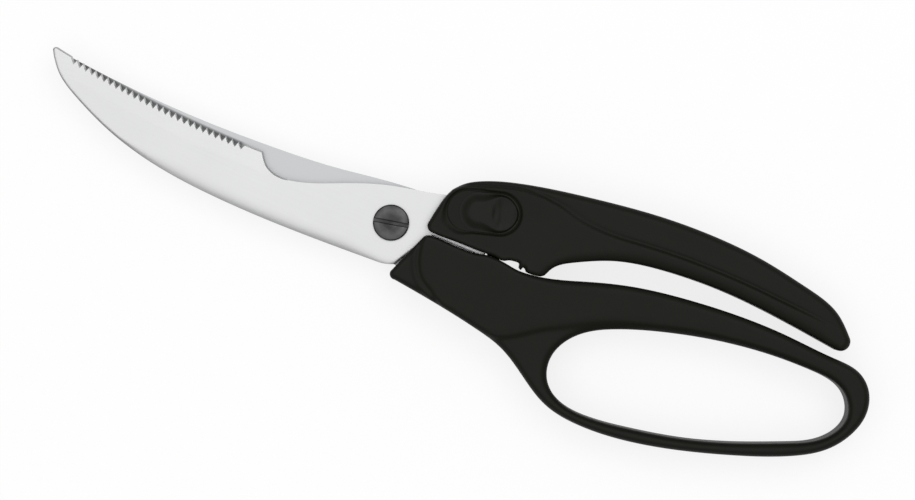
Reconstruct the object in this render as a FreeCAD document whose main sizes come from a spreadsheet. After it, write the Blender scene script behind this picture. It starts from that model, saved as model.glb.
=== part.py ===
import FreeCAD, Part
import math
import os

import Sketcher
from FreeCAD import Placement, Rotation, Vector

# Poultry shears, closed. Drawn about the pivot: +X runs to the handles, -X to the blade tips,
# +Z is the side with the screw head, and z = 0 lies between the two blades. The finished
# pieces are then moved so that the origin is under the middle of the outline, on the surface
# that the shears lie on.

SIZES = {
    # reach of each end, measured from the pivot
    "blade_reach": 107.3,
    "handle_reach": 144.6,
    "grip_reach": 132.6,
    # blades
    "steel_thick": 3.0,
    "blade_play": 0.05,
    "tip_rise": 8.3,
    "spine_drop": 12.8,
    "tooth_inset": 5.8,
    "heel_start": 46.5,
    "heel_rise": 4.4,
    "edge_curve": 345.0,
    "front_land": 2.3,
    "rear_land": 0.7,
    "bevel_width": 5.5,
    "grind_sag": 0.06,
    "tooth_pitch": 1.96,
    "tooth_depth": 1.3,
    "ricasso": 11.7,
    "anchor_hole": 5.0,
    "front_tip_cut": 1.7,
    "rear_tip_cut": 1.9,
    # pivot
    "head_wide": 10.3,
    "head_high": 1.7,
    "head_crown": 0.5,
    "slot_wide": 1.3,
    "slot_deep": 0.9,
    "slot_turn": 12.0,
    "shank_wide": 4.0,
    "sleeve_wide": 6.0,
    "sleeve_play": 0.05,
    "flange_wide": 11.0,
    "flange_high": 1.6,
    "flange_edge": 0.4,
    "key_apart": 7.8,
    "key_wide": 1.4,
    "head_edge": 0.35,
    "shank_short": 0.3,
    "washer_wide": 10.4,
    "washer_thick": 0.5,
    "washer_cone": 0.35,
    "washer_play": 0.2,
    # handles
    "handle_thick": 16.0,
    "tail_thick": 12.6,
    "taper_start": 58.0,
    "taper_past": 3.0,
    "grip_round": 1.35,
    "loop_round": 1.35,
    "swell_low": 0.45,
    "shoulder_low": 0.75,
    "facet_low": 0.7,
    "swing_play": 0.4,
    # spring between the handles
    "spring_place": 30.9,
    "spring_middle": 2.6,
    "spring_long": 15.4,
    "spring_wide": 5.2,
    "spring_wire": 0.8,
    "spring_turns": 7,
    "spring_play": 0.3,
    "spring_end_play": 0.05,
    "tang_play": 0.3,
    "notch_play": 0.6,
    # slide lock, in its own axes: x along its travel, toward the tail of the handle
    "lock_turn": 17.0,
    "lock_along": 24.5,
    "lock_across": 13.3,
    "lock_travel": 3.3,
    "button_long": 17.0,
    "button_wide": 11.0,
    "button_rise": 0.5,
    "button_play": 0.25,
    "recess_floor": 5.0,
    "button_lift": 0.1,
    "dish_back": 4.2,
    "dish_radius": 5.0,
    "dish_deep": 1.8,
    "bolt_wide": 3.4,
    "bolt_long": 14.0,
    "bolt_thick": 2.7,
    "bolt_play": 0.15,
    "bolt_aside": 3.4,
    "bolt_nose": 13.5,
    "bolt_corner": 0.5,
    "rivet_wide": 3.0,
    "rivet_along": 2.2,
    "rivet_grip": 1.5,
    "relief_reach": 9.4,
    "lug_reach": 13.0,
    "lug_from": 39.5,
    "lug_to": 51.5,
}

doc = FreeCAD.newDocument("poultry_shears")
sheet = doc.addObject("Spreadsheet::Sheet", "Dims")
for row, (name, value) in enumerate(SIZES.items(), start=1):
    sheet.set("A%d" % row, name)
    sheet.set("B%d" % row, str(value))
    sheet.setAlias("B%d" % row, name)
doc.recompute()


def size(name):
    """Read one dimension back from the sheet."""
    return float(sheet.get(name))


# ---------------------------------------------------------------- drawing helpers


def polar(radius, degrees, centre=Vector(0, 0, 0)):
    """Point at a distance and an angle from a centre."""
    turn = math.radians(degrees)
    return centre + Vector(radius * math.cos(turn), radius * math.sin(turn), 0)


def at(x, y):
    return Vector(x, y, 0)


def curve(points, closed=False):
    """A smooth curve through a few points."""
    line = Part.BSplineCurve()
    line.interpolate([Vector(*p) for p in points], PeriodicFlag=closed)
    return line


def line(start, end):
    return Part.LineSegment(Vector(*start), Vector(*end))


def polygon(points):
    """Straight sides through the points and back to the first."""
    return [line(a, b) for a, b in zip(points, points[1:] + points[:1])]


def arc(start, middle, end):
    return Part.Arc(Vector(*start), Vector(*middle), Vector(*end))


def circle(x, y, radius):
    return Part.Circle(at(x, y), Vector(0, 0, 1), radius)


def stadium(left, right, middle, half):
    """Slot outline along x with round ends."""
    upper, lower = middle + half, middle - half
    return [line((left + half, upper, 0), (right - half, upper, 0)),
            arc((right - half, upper, 0), (right, middle, 0), (right - half, lower, 0)),
            line((right - half, lower, 0), (left + half, lower, 0)),
            arc((left + half, lower, 0), (left, middle, 0), (left + half, upper, 0))]


def new_body(name):
    body = doc.addObject("PartDesign::Body", name)
    body.Label = name
    return body


def sketch_on(body, name, geometry, role="XY_Plane", height=None):
    """A sketch on one of the body's own origin planes, lifted by an expression."""
    sketch = body.newObject("Sketcher::SketchObject", name)
    plane = [f for f in body.Origin.OriginFeatures if f.Role == role][0]
    sketch.AttachmentSupport = (plane, [""])
    sketch.MapMode = "FlatFace"
    if height:
        sketch.setExpression("AttachmentOffset.Base.z", height)
    for item in geometry:
        sketch.addGeometry(item, False)
    return sketch


def round_sketch(body, name, wide, role="XY_Plane", height=None):
    """A circle on the sketch's origin, its diameter taken from the sheet."""
    sketch = sketch_on(body, name, [circle(0, 0, 1)], role, height)
    sketch.addConstraint(Sketcher.Constraint("Coincident", 0, 3, -1, 1))
    sketch.addConstraint(Sketcher.Constraint("Diameter", 0, 2))
    sketch.renameConstraint(1, "wide")
    sketch.setExpression("Constraints.wide", wide)
    return sketch


def settle(feature, before=None):
    """Recompute a new feature; one that cuts must take something away."""
    feature.Profile[0].recompute()
    feature.recompute()
    if feature.Shape.isNull() or not feature.Shape.isValid():
        raise ValueError("%s fails" % feature.Name)
    if before is not None and not feature.Shape.Volume < before - 1e-6:
        raise ValueError("%s cuts nothing" % feature.Name)
    return feature


def pad(body, sketch, length, midplane=False):
    feature = body.newObject("PartDesign::Pad", "Pad_" + sketch.Name)
    feature.Profile = sketch
    feature.Midplane = midplane
    feature.setExpression("Length", length)
    return settle(feature)


def cut(body, sketch, length, up=True, midplane=False):
    """Pocket from the sketch, toward its normal when up."""
    before = body.Tip.Shape.Volume
    feature = body.newObject("PartDesign::Pocket", "Cut_" + sketch.Name)
    feature.Profile = sketch
    feature.Reversed = up
    feature.Midplane = midplane
    feature.setExpression("Length", length)
    return settle(feature, before)


def turn(body, kind, sketch, angle="360", reverse=False):
    """Revolution or Groove about the sketch's upright axis."""
    before = body.Tip.Shape.Volume if kind == "Groove" else None
    feature = body.newObject("PartDesign::" + kind, kind + "_" + sketch.Name)
    feature.Profile = sketch
    feature.ReferenceAxis = (sketch, ["V_Axis"])
    feature.Reversed = reverse
    feature.setExpression("Angle", angle)
    return settle(feature, before)


def round_edges(body, keep, radius, kind="Fillet"):
    """Fillet or chamfer the body's edges that the test keeps."""
    base = body.Tip
    names = ["Edge%d" % i for i, e in enumerate(base.Shape.Edges, start=1) if keep(e)]
    feature = body.newObject("PartDesign::" + kind, "%s_%s" % (kind, body.Name))
    feature.Base = (base, names)
    feature.setExpression("Size" if kind == "Chamfer" else "Radius", radius)
    feature.recompute()
    if feature.Shape.isNull() or not feature.Shape.isValid():
        raise ValueError("%s on %s fails" % (kind, body.Name))
    return feature


# ---------------------------------------------------------------- shared places

REACH = size("blade_reach")
TAIL = size("handle_reach")
GRIP = size("grip_reach")
PLAY = size("blade_play")
FACE = size("blade_play") + size("steel_thick")
HALF = size("handle_thick") / 2
STACK = size("washer_thick") + size("washer_cone")

FRONT_TANG_LOW = 1.35
REAR_TANG_HIGH = 2.0

# the spring's seat, which both tangs leave free
SEAT_HALF = size("spring_wide") / 2 + size("spring_play")
SEAT_LEFT = size("spring_place") - SEAT_HALF - size("tang_play")
SEAT_RIGHT = size("spring_place") + SEAT_HALF + size("tang_play")
SEAT_TOP = size("spring_middle") + size("spring_long") / 2 + size("spring_end_play")
SEAT_FOOT = size("spring_middle") - size("spring_long") / 2 - size("spring_end_play")

# the toothed edge is one long arc, whose centre lies far above the blade
TEETH_FROM = at(size("tooth_inset") - REACH, size("tip_rise"))
TEETH_TO = at(-size("heel_start"), size("heel_rise"))
EDGE_RADIUS = size("edge_curve")


def centre_of_arc(start, end, radius):
    """Centre, on the +Y side, of the arc of a radius that joins two points."""
    along = end - start
    across = Vector(-along.y, along.x, 0).normalize()
    return (start + end) / 2 + across * math.sqrt(radius ** 2 - (along.Length / 2) ** 2)


EDGE_CENTRE = centre_of_arc(TEETH_FROM, TEETH_TO, EDGE_RADIUS)


def on_edge(x):
    """Point of the toothed edge's arc at a distance x."""
    return (x, EDGE_CENTRE.y - math.sqrt(EDGE_RADIUS ** 2 - (x - EDGE_CENTRE.x) ** 2), 0)


def grind(body, name, centre, start_x, edge, width, land, face, angle):
    """Hollow-ground bevel, turned about the centre of the edge's arc.

    The cut starts at start_x and follows the edge toward the tip. Width is negative where
    the steel lies inside the arc. Land and face are the heights of the edge and the flat.
    """
    beyond = edge - math.copysign(2.0, width)
    shoulder = edge + width
    clear = face + math.copysign(1.0, face)
    slope = (face - land) / width
    start = (beyond, land - slope * abs(beyond - edge) * math.copysign(1, width), 0)
    middle = ((beyond + shoulder) / 2, (start[1] + face) / 2
              - math.copysign(size("grind_sag"), face), 0)
    profile = [arc(start, middle, (shoulder, face, 0)),
               line((shoulder, face, 0), (shoulder, clear, 0)),
               line((shoulder, clear, 0), (beyond, clear, 0)),
               line((beyond, clear, 0), start)]
    sketch = sketch_on(body, name, profile, "XZ_Plane")
    drop = math.sqrt(edge ** 2 - (start_x - centre.x) ** 2)
    heading = math.degrees(math.atan2(-drop, start_x - centre.x))
    sketch.AttachmentOffset = Placement(Vector(centre.x, 0, -centre.y),
                                        Rotation(Vector(0, 1, 0), heading))
    turn(body, "Groove", sketch, angle, reverse=True)


LOCK_AXES = Placement(Vector(size("lock_along"), size("lock_across"), 0),
                      Rotation(Vector(0, 0, 1), size("lock_turn")))
# distance of the lock's own origin from the pivot, measured along its travel
LOCK_REACH = LOCK_AXES.Rotation.multVec(Vector(1, 0, 0)).dot(LOCK_AXES.Base)
BOLT_FRONT = size("bolt_nose") - LOCK_REACH
BOLT_REAR = BOLT_FRONT + size("bolt_long")
BOLT_LINE = -size("bolt_aside")
RIVET_X = -size("rivet_along")


# ---------------------------------------------------------------- blades


def toothed_blade():
    """Front blade: saw teeth, bone notch, and the tang of the closed handle."""
    body = new_body("toothed_blade")
    ricasso = size("ricasso")
    drop = size("spine_drop")
    blunt = size("front_tip_cut")
    tip = on_edge(blunt - REACH)
    spine = (0.65 * blunt - REACH, 6.4, 0)
    heel = on_edge(-41.4)
    seat_top = SEAT_TOP + size("notch_play")
    outline = [
        arc(tip, (-REACH, 8.2, 0), spine),
        curve([spine, (-0.96 * REACH, 2.6, 0), (-0.895 * REACH, -1.8, 0),
               (-0.783 * REACH, -0.54 * drop, 0), (-0.634 * REACH, -0.85 * drop, 0),
               (-0.45 * REACH, -0.99 * drop, 0), (-0.23 * REACH, -0.995 * drop, 0),
               (0, -ricasso, 0)]),
        arc((0, -ricasso, 0), polar(ricasso, -76), polar(ricasso, -62)),
        line(polar(ricasso, -62), (12.2, FRONT_TANG_LOW, 0)),
        line((12.2, FRONT_TANG_LOW, 0), (SEAT_LEFT, FRONT_TANG_LOW, 0)),
        line((SEAT_LEFT, FRONT_TANG_LOW, 0), (SEAT_LEFT, seat_top, 0)),
        line((SEAT_LEFT, seat_top, 0), (SEAT_RIGHT, seat_top, 0)),
        line((SEAT_RIGHT, seat_top, 0), (SEAT_RIGHT, 6.2, 0)),
        curve([(SEAT_RIGHT, 6.2, 0), (43, 8.2, 0), (52, 13.0, 0), (62, 17.6, 0),
               (75, 20.9, 0), (88, 22.6, 0)]),
        arc((88, 22.6, 0), (90.4, 25.0, 0), (88, 27.4, 0)),
        curve([(88, 27.4, 0), (66, 26.6, 0), (42, 22.8, 0), (25, 18.0, 0), (9.5, 12.8, 0)]),
        curve([(9.5, 12.8, 0), (-4, 9.7, 0), (-16, 5.4, 0), (-28, 0.6, 0), (-34, -0.3, 0),
               (-38.6, 1.1, 0), heel]),
        arc(heel, on_edge(-72), tip),
    ]
    pad(body, sketch_on(body, "front_outline", outline, height="Dims.blade_play"),
        "Dims.steel_thick")

    grind(body, "front_bevel", EDGE_CENTRE, -34.5, EDGE_RADIUS, size("bevel_width"),
          PLAY + size("front_land"), FACE, "13")

    # one gap between two teeth, repeated along the arc
    first = math.degrees(math.atan2(TEETH_FROM.y - EDGE_CENTRE.y, TEETH_FROM.x - EDGE_CENTRE.x))
    pitch = math.degrees(size("tooth_pitch") / EDGE_RADIUS)
    gap = [polar(EDGE_RADIUS, first), polar(EDGE_RADIUS + size("tooth_depth"), first + 0.7 * pitch),
           polar(EDGE_RADIUS, first + 0.96 * pitch), polar(EDGE_RADIUS - 1, first + 0.5 * pitch)]
    tooth = sketch_on(body, "tooth_gap", polygon([tuple(p) for p in gap]))
    tooth.AttachmentOffset = Placement(EDGE_CENTRE, Rotation())
    teeth = body.newObject("PartDesign::PolarPattern", "teeth")
    teeth.Originals = [cut(body, tooth, "Dims.steel_thick + 1")]
    teeth.Axis = (tooth, ["N_Axis"])
    teeth.Mode = "Spacing"
    teeth.setExpression("Offset", "Dims.tooth_pitch / Dims.edge_curve * 180 / pi")
    teeth.setExpression("Occurrences", "floor((Dims.blade_reach - Dims.tooth_inset"
                        " - Dims.heel_start) / Dims.tooth_pitch)")
    teeth.recompute()
    body.Tip = teeth

    cut(body, round_sketch(body, "front_pivot_hole", "Dims.sleeve_wide + 2 * Dims.sleeve_play"),
        "Dims.steel_thick + 1")
    holes = sketch_on(body, "front_anchors", [circle(x, y, size("anchor_hole") / 2)
                                              for x, y in ((60, 21.2), (80, 24.6))])
    cut(body, holes, "Dims.steel_thick + 1")
    slot = sketch_on(body, "lock_slot", lock_slot(size("rivet_wide") / 2 + size("bolt_play")))
    slot.AttachmentOffset = LOCK_AXES
    cut(body, slot, "Dims.steel_thick + 1")
    return body


def plain_blade():
    """Rear blade: plain edge, lock lug on its rim, and the tang of the loop handle."""
    body = new_body("plain_blade")
    relief = size("relief_reach")
    lug = size("lug_reach")
    lug_from, lug_to = size("lug_from"), size("lug_to")
    ricasso = size("ricasso")
    end_turn = 73.5
    low_turn = math.degrees(math.asin(REAR_TANG_HIGH / relief))
    blunt = size("rear_tip_cut")
    tip = (blunt - REACH, 8.3, 0)
    under_tip = (blunt - REACH, 6.2, 0)
    heel = (-12, -5.8, 0)
    shoulder = polar(11.9, end_turn)
    belly = (-60, -3.3, 0)
    edge = Part.Circle(Vector(*under_tip), Vector(*belly), Vector(*heel))
    seat_foot = SEAT_FOOT - size("notch_play")
    outline = [
        arc(tip, (blunt / 2 - REACH, 7.2, 0), under_tip),
        arc(under_tip, belly, heel),
        line(heel, polar(ricasso, -118)),
        arc(polar(ricasso, -118), polar(ricasso, -90), polar(ricasso, -64)),
        curve([polar(ricasso, -64), (9, -11.2, 0), (22, -12.4, 0), (38, -12.6, 0),
               (50, -9.0, 0), (62, -2.6, 0), (76, 3.4, 0), (92, 7.0, 0)]),
        arc((92, 7.0, 0), (93.9, 8.9, 0), (92, 10.8, 0)),
        curve([(92, 10.8, 0), (78, 9.0, 0), (62, 4.6, 0), (48, 0.8, 0), (SEAT_RIGHT, -0.4, 0)]),
        line((SEAT_RIGHT, -0.4, 0), (SEAT_RIGHT, seat_foot, 0)),
        line((SEAT_RIGHT, seat_foot, 0), (SEAT_LEFT, seat_foot, 0)),
        line((SEAT_LEFT, seat_foot, 0), (SEAT_LEFT, REAR_TANG_HIGH, 0)),
        line((SEAT_LEFT, REAR_TANG_HIGH, 0), polar(relief, low_turn)),
        arc(polar(relief, low_turn), polar(relief, (low_turn + lug_from) / 2),
            polar(relief, lug_from)),
        line(polar(relief, lug_from), polar(lug, lug_from)),
        arc(polar(lug, lug_from), polar(lug, (lug_from + lug_to) / 2), polar(lug, lug_to)),
        line(polar(lug, lug_to), polar(relief, lug_to)),
        arc(polar(relief, lug_to), polar(relief, (lug_to + end_turn) / 2),
            polar(relief, end_turn)),
        line(polar(relief, end_turn), shoulder),
        curve([shoulder, (-10, 9.9, 0), (-20, 8.4, 0), (-40, 6.7, 0), (-60, 6.0, 0),
               (-85, 6.6, 0), tip]),
    ]
    pad(body, sketch_on(body, "rear_outline", outline,
                        height="-Dims.blade_play - Dims.steel_thick"), "Dims.steel_thick")
    grind(body, "rear_bevel", edge.Center, -8.0, edge.Radius, -size("bevel_width"),
          -(PLAY + size("rear_land")), -FACE, "24")
    cut(body, round_sketch(body, "rear_pivot_hole", "Dims.sleeve_wide"),
        "Dims.steel_thick + 1", up=False)
    holes = sketch_on(body, "rear_anchors", [circle(x, y, size("anchor_hole") / 2)
                                             for x, y in ((48, -6.2), (63, 1.2))])
    cut(body, holes, "Dims.steel_thick + 1", up=False)
    return body


# ---------------------------------------------------------------- pivot


def pivot_screw():
    """Slotted screw: low domed head and a shank inside the sleeve of the nut."""
    body = new_body("pivot_screw")
    head = size("head_wide") / 2
    seat = FACE + PLAY
    rim = seat + size("head_high") - size("head_crown")
    top = seat + size("head_high")
    shank = size("shank_wide") / 2
    foot = -(FACE + STACK + size("flange_high") - size("shank_short"))
    edge = size("head_edge")
    dome = arc((head - edge, rim + edge / 3, 0), (head * 0.55, top - edge / 3, 0), (0, top, 0))
    profile = [line((0, foot, 0), (shank, foot, 0)), line((shank, foot, 0), (shank, seat, 0)),
               line((shank, seat, 0), (head, seat, 0)),
               line((head, seat, 0), (head, rim - edge / 2, 0)),
               line((head, rim - edge / 2, 0), (head - edge, rim + edge / 3, 0)), dome,
               line((0, top, 0), (0, foot, 0))]
    turn(body, "Revolution", sketch_on(body, "screw_profile", profile, "XZ_Plane"))
    half = size("slot_wide") / 2
    slot = sketch_on(body, "driver_slot",
                     polygon([(-head - 1, -half, 0), (head + 1, -half, 0),
                              (head + 1, half, 0), (-head - 1, half, 0)]))
    slot.AttachmentOffset = Placement(Vector(0, 0, top - size("slot_deep")),
                                      Rotation(Vector(0, 0, 1), size("slot_turn")))
    cut(body, slot, "Dims.slot_deep + 1")
    return body


def pivot_nut():
    """Sleeve nut: the sleeve is the bearing of both blades, the flange closes the stack."""
    body = new_body("pivot_nut")
    bore, sleeve = size("shank_wide") / 2, size("sleeve_wide") / 2
    flange = size("flange_wide") / 2
    top = -(FACE + STACK)
    foot = top - size("flange_high")
    edge = size("flange_edge")
    profile = polygon([(bore, foot, 0), (flange - edge, foot, 0), (flange, foot + edge, 0),
                       (flange, top, 0), (sleeve, top, 0), (sleeve, FACE + PLAY, 0),
                       (bore, FACE + PLAY, 0)])
    turn(body, "Revolution", sketch_on(body, "nut_profile", profile, "XZ_Plane"))
    key = sketch_on(body, "key_holes", [circle(side * size("key_apart") / 2, 0, size("key_wide") / 2)
                                         for side in (-1, 1)])
    key.AttachmentOffset = Placement(Vector(0, 0, foot), Rotation())
    cut(body, key, "Dims.flange_high * 0.6")
    return body


def tension_washer():
    """Conical spring washer between the rear blade and the flange of the nut."""
    body = new_body("tension_washer")
    inner = size("sleeve_wide") / 2 + size("washer_play")
    outer = size("washer_wide") / 2
    thick, cone = size("washer_thick"), size("washer_cone")
    profile = polygon([(inner, -FACE, 0), (outer, -FACE - cone, 0),
                       (outer, -FACE - cone - thick, 0), (inner, -FACE - thick, 0)])
    turn(body, "Revolution", sketch_on(body, "washer_profile", profile, "XZ_Plane"))
    return body


# ---------------------------------------------------------------- slide lock

def lock_slot(half):
    """Slot that the rivet travels in."""
    return stadium(RIVET_X - size("lock_travel") - half, RIVET_X + half, BOLT_LINE, half)


def lock_button():
    """Thumb button: raised front block and a scooped dish behind it."""
    body = new_body("lock_button")
    half = size("button_long") / 2
    top = HALF + size("button_rise")
    foot = size("recess_floor") + size("button_lift")
    face = sketch_on(body, "button_outline", stadium(-half, half, 0, size("button_wide") / 2))
    face.AttachmentOffset = Placement(Vector(0, 0, foot), Rotation())
    pad(body, face, "Dims.handle_thick / 2 + Dims.button_rise - Dims.recess_floor"
        " - Dims.button_lift")
    dish_y = top + size("dish_radius") - size("dish_deep")
    dish = sketch_on(body, "thumb_dish", [circle(half - size("dish_back"), dish_y, size("dish_radius"))],
                     "XZ_Plane")
    cut(body, dish, "2 * Dims.button_wide", midplane=True)
    hole = sketch_on(body, "rivet_hole", [circle(RIVET_X, BOLT_LINE, size("rivet_wide") / 2)])
    hole.AttachmentOffset = Placement(Vector(0, 0, foot), Rotation())
    cut(body, hole, "Dims.rivet_grip")
    return body


def lock_bolt():
    """Flat bolt that drops in front of the lug on the rear blade's rim."""
    body = new_body("lock_bolt")
    half = size("bolt_wide") / 2
    low, high = BOLT_LINE - half, BOLT_LINE + half
    nose = size("bolt_corner")
    outline = polygon([(BOLT_FRONT + nose, low, 0), (BOLT_REAR, low, 0), (BOLT_REAR, high, 0),
                       (BOLT_FRONT + nose, high, 0), (BOLT_FRONT, high - nose, 0),
                       (BOLT_FRONT, low + nose, 0)])
    pad(body, sketch_on(body, "bolt_outline", outline,
                        height="-Dims.bolt_play - Dims.bolt_thick"), "Dims.bolt_thick")
    hole = sketch_on(body, "bolt_hole", [circle(RIVET_X, BOLT_LINE, size("rivet_wide") / 2)],
                     height="-Dims.bolt_play - Dims.bolt_thick")
    cut(body, hole, "Dims.bolt_thick")
    return body


def lock_rivet():
    """Pin that joins the bolt to the button through the slot in the tang."""
    body = new_body("lock_rivet")
    pin = sketch_on(body, "rivet_outline", [circle(RIVET_X, BOLT_LINE, size("rivet_wide") / 2)],
                    height="-Dims.bolt_play - Dims.bolt_thick")
    pad(body, pin, "Dims.recess_floor + Dims.button_lift + Dims.rivet_grip + Dims.bolt_play"
        " + Dims.bolt_thick")
    return body


# ---------------------------------------------------------------- spring


def handle_spring():
    """Compression spring across the slit, seated in both handles."""
    body = new_body("handle_spring")
    wire = size("spring_wire")
    coil = (size("spring_wide") - wire) / 2
    section = sketch_on(body, "wire_section", [circle(coil, wire / 2, wire / 2)])
    lift = SEAT_FOOT + size("spring_end_play")
    section.AttachmentOffset = Placement(Vector(size("spring_place"), lift, 0), Rotation())
    helix = body.newObject("PartDesign::AdditiveHelix", "coils")
    helix.Profile = section
    helix.ReferenceAxis = (section, ["V_Axis"])
    helix.Mode = "height-turns-growth"
    helix.setExpression("Height", "Dims.spring_long - Dims.spring_wire")
    helix.setExpression("Turns", "Dims.spring_turns")
    settle(helix)
    return body


# ---------------------------------------------------------------- handles


def handle_form(name, outline, radius, lower, hole=None):
    """Moulded handle: outline, tapered faces with their lowered areas, rounded edges."""
    body = new_body(name)
    pad(body, sketch_on(body, name + "_outline", outline), "Dims.handle_thick", midplane=True)
    start, tail = size("taper_start"), size("tail_thick") / 2
    end = max(TAIL, GRIP + size("taper_past"))
    reach = end + size("taper_past")
    middle = (start + end) / 2
    slope = (HALF - tail) * 0.25
    for side in (1, -1):
        profile = [arc((start, side * HALF, 0), (middle, side * (HALF - slope), 0),
                       (end, side * tail, 0)),
                   line((end, side * tail, 0), (reach, side * tail, 0)),
                   line((reach, side * tail, 0), (reach, side * (HALF + 1), 0)),
                   line((reach, side * (HALF + 1), 0), (start, side * (HALF + 1), 0)),
                   line((start, side * (HALF + 1), 0), (start, side * HALF, 0))]
        sketch = sketch_on(body, "%s_taper_%s" % (name, "top" if side > 0 else "foot"),
                           profile, "XZ_Plane")
        cut(body, sketch, "200", midplane=True)
    if hole:
        cut(body, sketch_on(body, name + "_opening", hole), "2 * Dims.handle_thick",
            midplane=True)

    def rim(edge):
        box = edge.BoundBox
        return (box.ZMin > tail - 0.5 or box.ZMax < 0.5 - tail) and not (
            abs(box.XMin - start) < 0.01 and abs(box.XMax - start) < 0.01)

    round_edges(body, rim, radius)
    for area, (border, depth) in lower.items():
        lowered(body, area, border, depth)
    return body


FRONT_CORNER = Vector(12.2, FRONT_TANG_LOW, 0)
STOP = 46.0
# the outlines below are drawn for these reaches
GRIP_DRAWN = 132.6
TAIL_DRAWN = 144.6


def stretched(points, reach, drawn):
    """Places drawn for one reach, moved for another: what lies beyond the stop stretches."""
    scale = (reach - STOP) / (drawn - STOP)
    return [(x if x < STOP else STOP + (x - STOP) * scale, y, 0) for x, y in points]


def lowered(body, name, border, depth):
    """Take both faces down inside a border, as far as a depth below the full thickness."""
    for side in ("top", "foot"):
        sketch = sketch_on(body, "%s_%s" % (name, side), border)
        level = HALF - depth
        sketch.AttachmentOffset = Placement(Vector(0, 0, level if side == "top" else -level),
                                            Rotation())
        cut(body, sketch, "Dims.handle_thick", up=side == "top")


def seat_cut(body, name, y, up):
    """Round seat of the spring, bored from its bottom out into the slit."""
    seat = sketch_on(body, name, [circle(size("spring_place"), 0, SEAT_HALF)], "XZ_Plane")
    seat.AttachmentOffset = Placement(Vector(0, 0, -y), Rotation())
    cut(body, seat, "Dims.spring_long", up=up)


def swing_slot(body, name, radius, low, high):
    """Flat round slot that the other blade's rim swings in."""
    slot = sketch_on(body, name, [circle(0, 0, radius)])
    slot.AttachmentOffset = Placement(Vector(0, 0, low), Rotation())
    cut(body, slot, str(high - low))


def lock_cut(body, name, outline, low, high):
    """Cut drawn in the lock's axes."""
    sketch = sketch_on(body, name, outline)
    sketch.AttachmentOffset = Placement(Vector(0, 0, low), Rotation()) * LOCK_AXES
    cut(body, sketch, str(high - low))


def without_tang(form, blade, label):
    """The handle is moulded round the tang, so the tang is cut out of it exactly."""
    moulding = doc.addObject("Part::Cut", label)
    moulding.Base = form
    moulding.Tool = blade
    moulding.Label = label
    return moulding


def upper_handle(blade):
    """Closed handle with the stop, the lock's recess and the seat of the spring."""
    gap = size("swing_play")
    front = arc((11.6, 2.4, 0), (9.5, 7.0, 0), (12.4, 15.4, 0))
    top = stretched([(12.4, 15.4), (17, 19.6), (30, 24.5), (50, 28.5), (70, 31.2), (85, 31.9),
                     (100, 31.2), (115, 28.8), (126, 25.4), (132.0, 20.2)], GRIP, GRIP_DRAWN)
    tail = stretched([(132.0, 20.2), (132.3, 17.3), (130.0, 15.8)], GRIP, GRIP_DRAWN)
    low = stretched([(130.0, 15.8), (115, 17.4), (95, 18.6), (78, 17.7), (62, 14.4), (52, 9.7),
                     (46, 5.4), (40, 3.9), (33, 3.3), (22, 2.6), (11.6, 2.4)], GRIP, GRIP_DRAWN)
    swell = stretched([(6, 15.0), (16, 18.4), (24, 21.8), (32, 23.8), (40, 23.7), (50, 21.8),
                       (60, 21.4), (76, 22.9), (90, 23.4), (105, 23.1), (120, 22.2),
                       (140, 20.5)], GRIP, GRIP_DRAWN)
    beyond = [line(swell[-1], (swell[-1][0], 40, 0)), line((swell[-1][0], 40, 0), (6, 40, 0)),
              line((6, 40, 0), swell[0])]
    body = handle_form("upper_form", [front, curve(top), arc(*tail), curve(low)],
                       "Dims.grip_round", {"swell": ([curve(swell)] + beyond, size("swell_low"))})

    stop = polygon([(46.8, 6.4, 0), (43.9, 2.3, 0), (41.0, 1.85, 0), (41.0, 5.0, 0)])
    pad(body, sketch_on(body, "stop", stop), "0.75 * Dims.handle_thick", midplane=True)
    rib = polygon([(38.8, 5.0, 0), (38.8, 1.75, 0), (38.1, 1.75, 0), (38.1, 5.0, 0)])
    pad(body, sketch_on(body, "slit_rib", rib), "0.75 * Dims.handle_thick", midplane=True)

    seat_cut(body, "upper_seat", SEAT_TOP, up=True)
    swing_slot(body, "upper_swing", size("lug_reach") + gap, -FACE - gap, PLAY)
    play = size("button_play")
    half = size("button_long") / 2 + play
    lock_cut(body, "button_recess",
             stadium(-half - size("lock_travel"), half, 0, size("button_wide") / 2 + play),
             size("recess_floor"), HALF + 1)
    lock_cut(body, "rivet_way", lock_slot(size("rivet_wide") / 2 + size("bolt_play")),
             PLAY, size("recess_floor"))
    side = size("bolt_wide") / 2 + size("bolt_play")
    back = BOLT_REAR + size("bolt_play")
    front = BOLT_FRONT - size("lock_travel") - 1
    channel = polygon([(front, BOLT_LINE - side, 0), (back, BOLT_LINE - side, 0),
                       (back, BOLT_LINE + side, 0), (front, BOLT_LINE + side, 0)])
    lock_cut(body, "bolt_way", channel, -size("bolt_thick") - 2 * size("bolt_play"), PLAY)
    return body, without_tang(body, blade, "upper_handle")


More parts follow.
